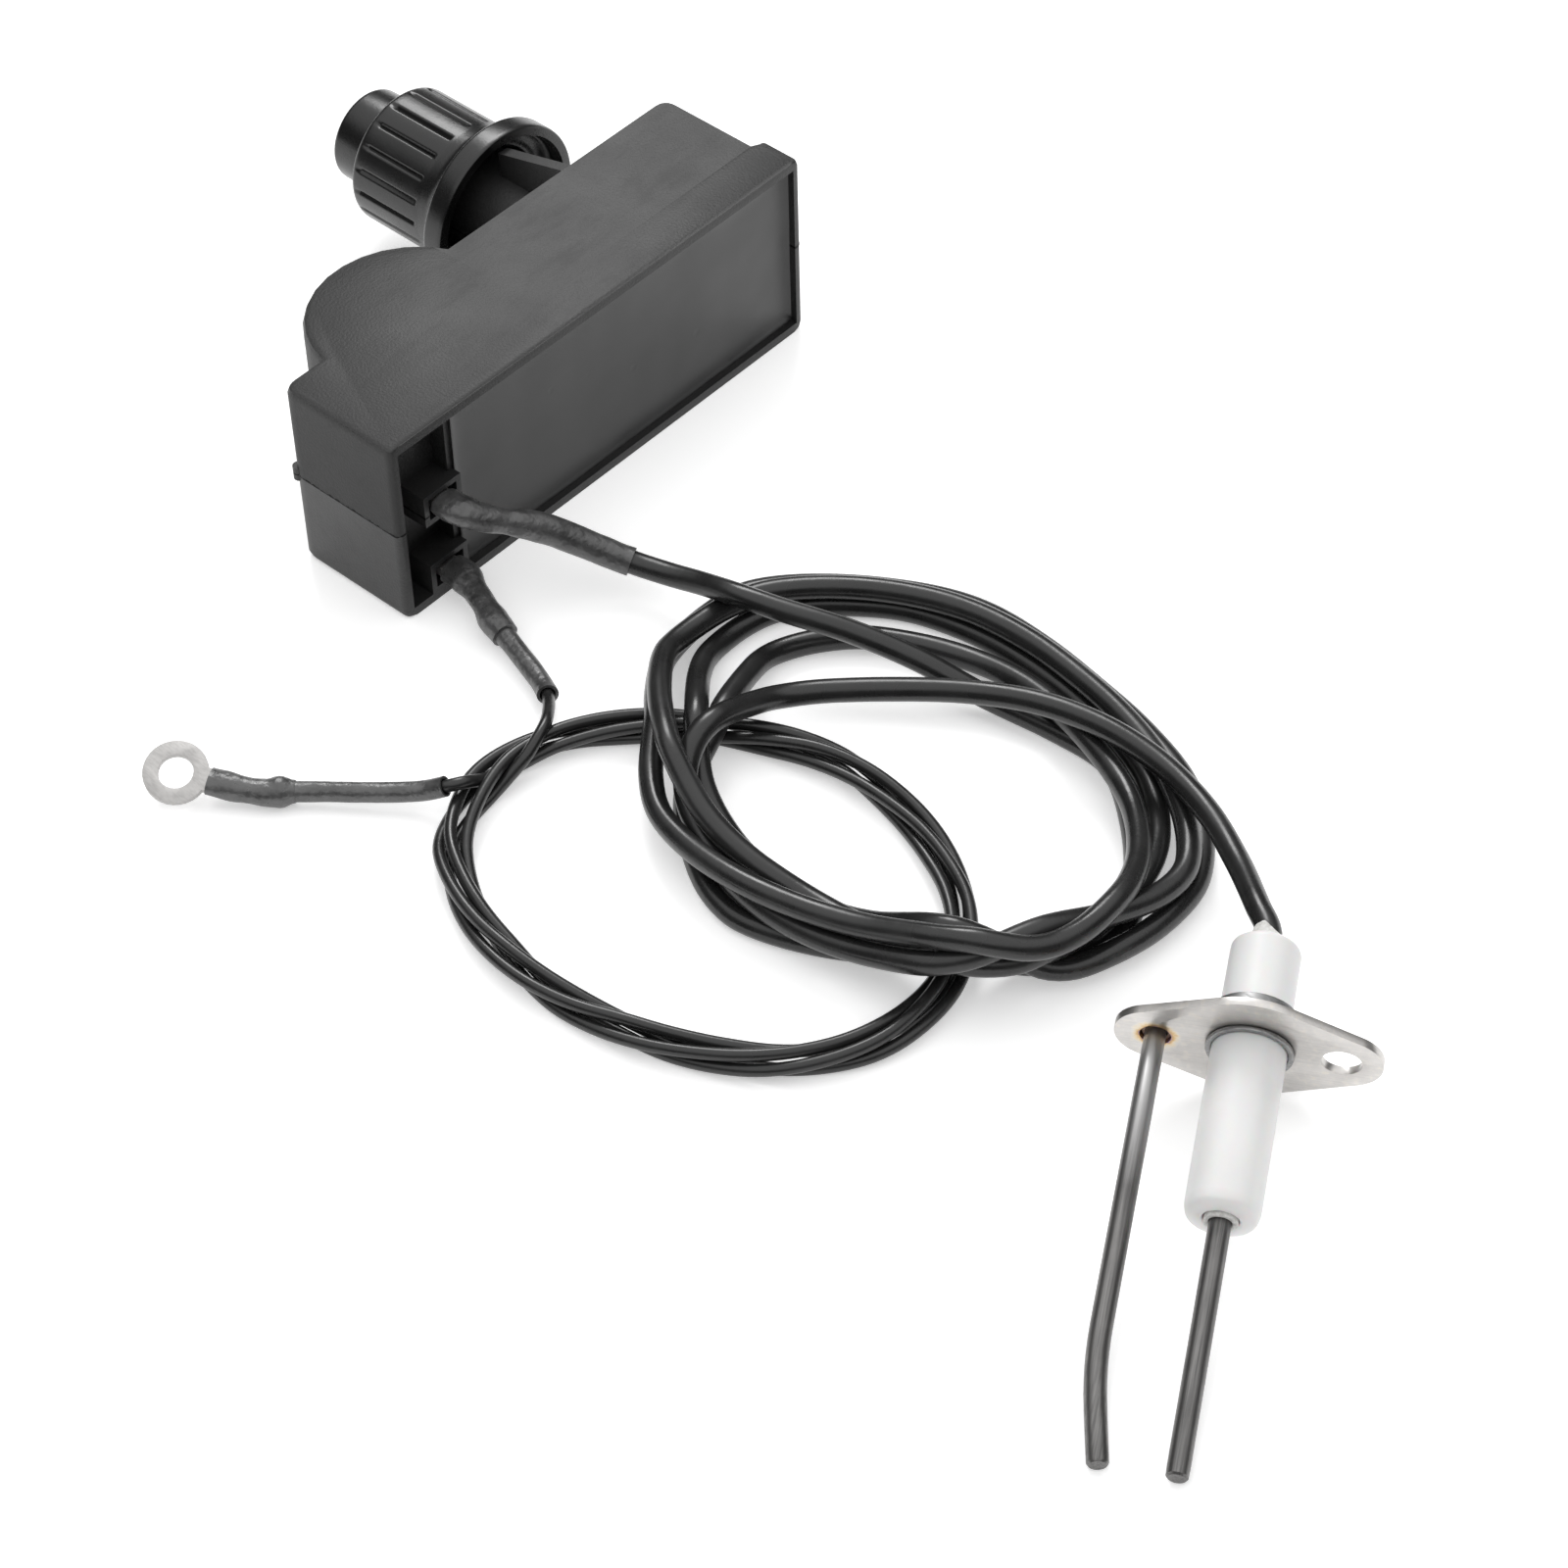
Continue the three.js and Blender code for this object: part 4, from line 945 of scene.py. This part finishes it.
def ceramic_piece():
    """The ceramic: a thin upper and a thick lower cylinder with a stepped bore."""
    top, bottom = reach_of("ceramic_insulator")
    outside = [(2.1, top), (3.5, top), (4.0, top + 0.55), (4.07, -1.2), (4.2, -1.0)]
    outside += [(4.2, bottom - 1.4), (3.95, bottom - 0.4), (2.9, bottom)]
    inside = [(2.0, bottom), (2.0, bottom - 1.5), (1.37, bottom - 1.5), (1.37, -4), (2.1, -4)]
    profile = arc_corners([*outside, *inside, (2.1, top)], 0.8, 5)[:-1]

    def carve(angle, radius, along):
        if radius < 3.2:
            return radius
        point = Vector((math.cos(angle), math.sin(angle), along / 5))
        return radius + 0.035 * noise.noise(point * 1.7)

    turned_piece(
        "insulator", profile, FLANGE_MIDDLE, AHEAD, 96, ceramic, "module", "ceramic_insulator", carve=carve
    )


ROD_RADIUS = 1.25


def rod_piece(name, node, path, steel):
    """A round rod with a small chamfer at each end."""
    ends = [0.8, 0.97, 1.0]
    waver = 0.006

    def size(share, point, angle):
        i = round(share * (len(path) - 1))
        scale = ends[min(i, len(path) - 1 - i, len(ends) - 1)]
        scale *= 1 + waver * noise.noise(point / (3 * MM))
        return ROD_RADIUS * scale * MM, ROD_RADIUS * scale * MM

    corners, faces = rings_mesh(swept_rings(path, 36, size), False)
    weld_piece(name, corners, faces, steel, "module", node)


def straight(start, end, step):
    count = max(2, round((end - start).length / step))
    return [start.lerp(end, i / count) for i in range(count + 1)]


def bead_piece():
    """The weld round the back of the earth rod: a lumpy ring that runs out on the plate."""
    low, high = reach_of("weld_bead")
    plug = [(1.3, high), (1.72, high), (1.72, -1.06)]
    mound = [(2.7, -1.06), (2.4, -1.5), (1.8, low), (1.3, low), (1.3, high)]
    rounded = arc_corners([*plug, *mound], 0.4, 4)[:-1]

    def carve(angle, radius, along):
        lump = noise.noise(Vector((math.cos(angle) * 2, math.sin(angle) * 2, along)))
        return radius + (0.3 * lump if radius > 2.0 else 0)

    steel = heat_tinted(weld_steel, weld_point, 4 * MM, 0.8)
    turned_piece(
        "weld_lumps", rounded, weld_point, AHEAD, 64, steel, "module", "weld_bead", carve=carve
    )


def middle_share(node):
    """How far a node's middle lies to the side of the electrode's axis, in millimetres."""
    return (middle_of(node) - FLANGE_MIDDLE).dot(SIDE) / MM


def cement_piece(name, node, outline, crumble, raised=None):
    """A plug of putty in the bore, crumbly where it stands out of it."""
    profile = arc_corners([*outline, outline[0]], 0.4)
    inner = min(radius for radius, along in outline)

    def carve(angle, radius, along):
        if radius < inner + 0.1:
            return radius
        lump = noise.noise(Vector((math.cos(angle), math.sin(angle), along * 0.6)) * 1.6)
        return radius + crumble * lump

    turned_piece(
        name, profile[:-1], FLANGE_MIDDLE, AHEAD, 48, cement, "module", node, carve=carve, raised=raised
    )


def rod_line():
    """The spark rod's middle line, with one more point near each end for the chamfer."""
    low, high = reach_of("spark_rod")
    line = straight(electrode_point(0, low), electrode_point(0, high), 1.5 * MM)
    near = 0.15
    return [line[0], line[0].lerp(line[1], near), *line[1:-1], line[-1].lerp(line[-2], near), line[-1]]


ceramic_piece()
rod_piece("rod_spark", "spark_rod", rod_line(), rod_steel.material)
weld_point = electrode_point(middle_share("weld_bead"), 0)
# painted light: the earth rod is painted lighter towards the weld point at the plate, fading out over 20
# mm
bent_steel = painted_light_towards(metal("bent_rod_steel", 0.19, 0.4, AHEAD, 0.6, 0.02), weld_point, 20 * MM)
rod_piece("rod_earth", "earth_rod", ring_centres("earth_rod")[1:-1], bent_steel)
tinted_plate = heat_tinted(plate_steel, weld_point, 2.9 * MM)
finish_node("flange_plate", tinted_plate, 0.12 * MM)
finish_node("upper_collar", collar_steel, 0.15 * MM)
finish_node("lower_retaining_ring", collar_steel, 0.12 * MM)
finish_node("crimp_ferrule", tinned)
bead_piece()
ceramic_top, ceramic_bottom = reach_of("ceramic_insulator")


def chipped(angle, along):
    """The putty stands up in a chip on one side of the lead."""
    tall, towards = 1.3, 0.55
    free = min(1, max(0, ceramic_top - 0.2 - along))
    side = max(0, math.cos(angle - towards)) ** 3
    return along - tall * free * side * (1 + 0.4 * noise.noise(Vector((3 * angle, along, 0))))


lump = [(1.56, -1.25), (2.0, -1.1), (2.4, -0.5), (2.45, -0.04), (1.98, -0.04), (1.98, 2), (1.56, 2)]
lump = [(radius, ceramic_top + along) for radius, along in lump]
cement_piece("cement_at_lead", "entry_cement", lump, 0.3, chipped)
plug = [(1.28, -1.4), (1.9, -1.4), (1.9, 0.3), (1.28, 0.3)]
plug = [(radius, ceramic_bottom + along) for radius, along in plug]
cement_piece("cement_at_rod", "exit_cement", plug, 0.08)


# ---------------------------------------------------------------- stage, light and camera


def floor_piece():
    """A pale floor that glows faintly, so that its shadows stay light."""
    net = Net("pale_floor")
    net.set(Base_Color=net.mix(net.noise(0.3), (0.93, 0.93, 0.93), (0.95, 0.95, 0.95)))
    net.set(Roughness=0.9, Specular_IOR_Level=0.1)
    net.set(Emission_Color=(1, 1, 1, 1), Emission_Strength=0.4)
    reach = 6.0
    corners = [(-reach, -reach, 0), (reach, -reach, 0), (reach, reach, 0), (-reach, reach, 0)]
    mesh = bpy.data.meshes.new("floor")
    mesh.from_pydata(corners, [], [(0, 1, 2, 3)])
    mesh.materials.append(net.material)
    made = bpy.data.objects.new("floor", mesh)
    made.location.z = cad_box[0].z - 0.05 * MM
    bpy.context.scene.collection.objects.link(made)


def soft_light(name, place, target, size, power):
    """A rectangular lamp that looks at target; its power is in watts."""
    lamp = bpy.data.lights.new(name, "AREA")
    lamp.shape = "RECTANGLE"
    lamp.size, lamp.size_y = size
    lamp.energy = power
    made = bpy.data.objects.new(name, lamp)
    made.location = place
    made.rotation_euler = (Vector(target) - Vector(place)).to_track_quat("-Z", "Y").to_euler()
    bpy.context.scene.collection.objects.link(made)


def studio():
    """A room that is dark to the sides and light overhead, and one soft light at the back."""
    world = bpy.data.worlds.new("studio")
    world.use_nodes = True
    tree = world.node_tree
    sky = tree.nodes["Background"]
    sky.inputs["Color"].default_value = (1, 1, 1, 1)
    direction = tree.nodes.new("ShaderNodeTexCoord").outputs["Generated"]
    parts = tree.nodes.new("ShaderNodeSeparateXYZ")
    fade = tree.nodes.new("ShaderNodeMapRange")
    fade.interpolation_type = "SMOOTHSTEP"
    low_height, high_height, dim, bright = 0.46, 0.76, 0.1, 1.35
    limits = (low_height, high_height, dim, bright)
    for key, value in zip(("From Min", "From Max", "To Min", "To Max"), limits):
        fade.inputs[key].default_value = value
    tree.links.new(direction, parts.inputs[0])
    tree.links.new(parts.outputs["Z"], fade.inputs["Value"])
    tree.links.new(fade.outputs["Result"], sky.inputs["Strength"])
    bpy.context.scene.world = world
    soft_light("key", (0.46, 0.48, 0.67), (0, -0.05, 0), (0.32, 0.32), 3.4)
    bpy.context.scene.view_settings.view_transform = "Standard"


def camera():
    """A long lens from the front left, well above the object."""
    azimuth, elevation, roll = (math.radians(a) for a in (-47.1, 46.6, -1.6))
    target = Vector((-27.3, -63.3, 0)) * MM
    distance = 509
    back = Vector(
        (
            math.sin(azimuth) * math.cos(elevation),
            -math.cos(azimuth) * math.cos(elevation),
            math.sin(elevation),
        )
    )
    focal_length, sensor_width = 97.85, 36
    lens = bpy.data.cameras.new("camera")
    lens.lens = focal_length
    lens.sensor_width = sensor_width
    made = bpy.data.objects.new("camera", lens)
    bpy.context.scene.collection.objects.link(made)
    level = (-back).cross(UP).normalized()
    over = level.cross(-back)
    right = level * math.cos(roll) + over * math.sin(roll)
    top = over * math.cos(roll) - level * math.sin(roll)
    made.matrix_world = Matrix.Translation(target + back * distance * MM) @ Matrix(
        (right, top, back)
    ).transposed().to_4x4()
    bpy.context.scene.camera = made


floor_piece()
studio()
camera()

bpy.context.view_layer.update()
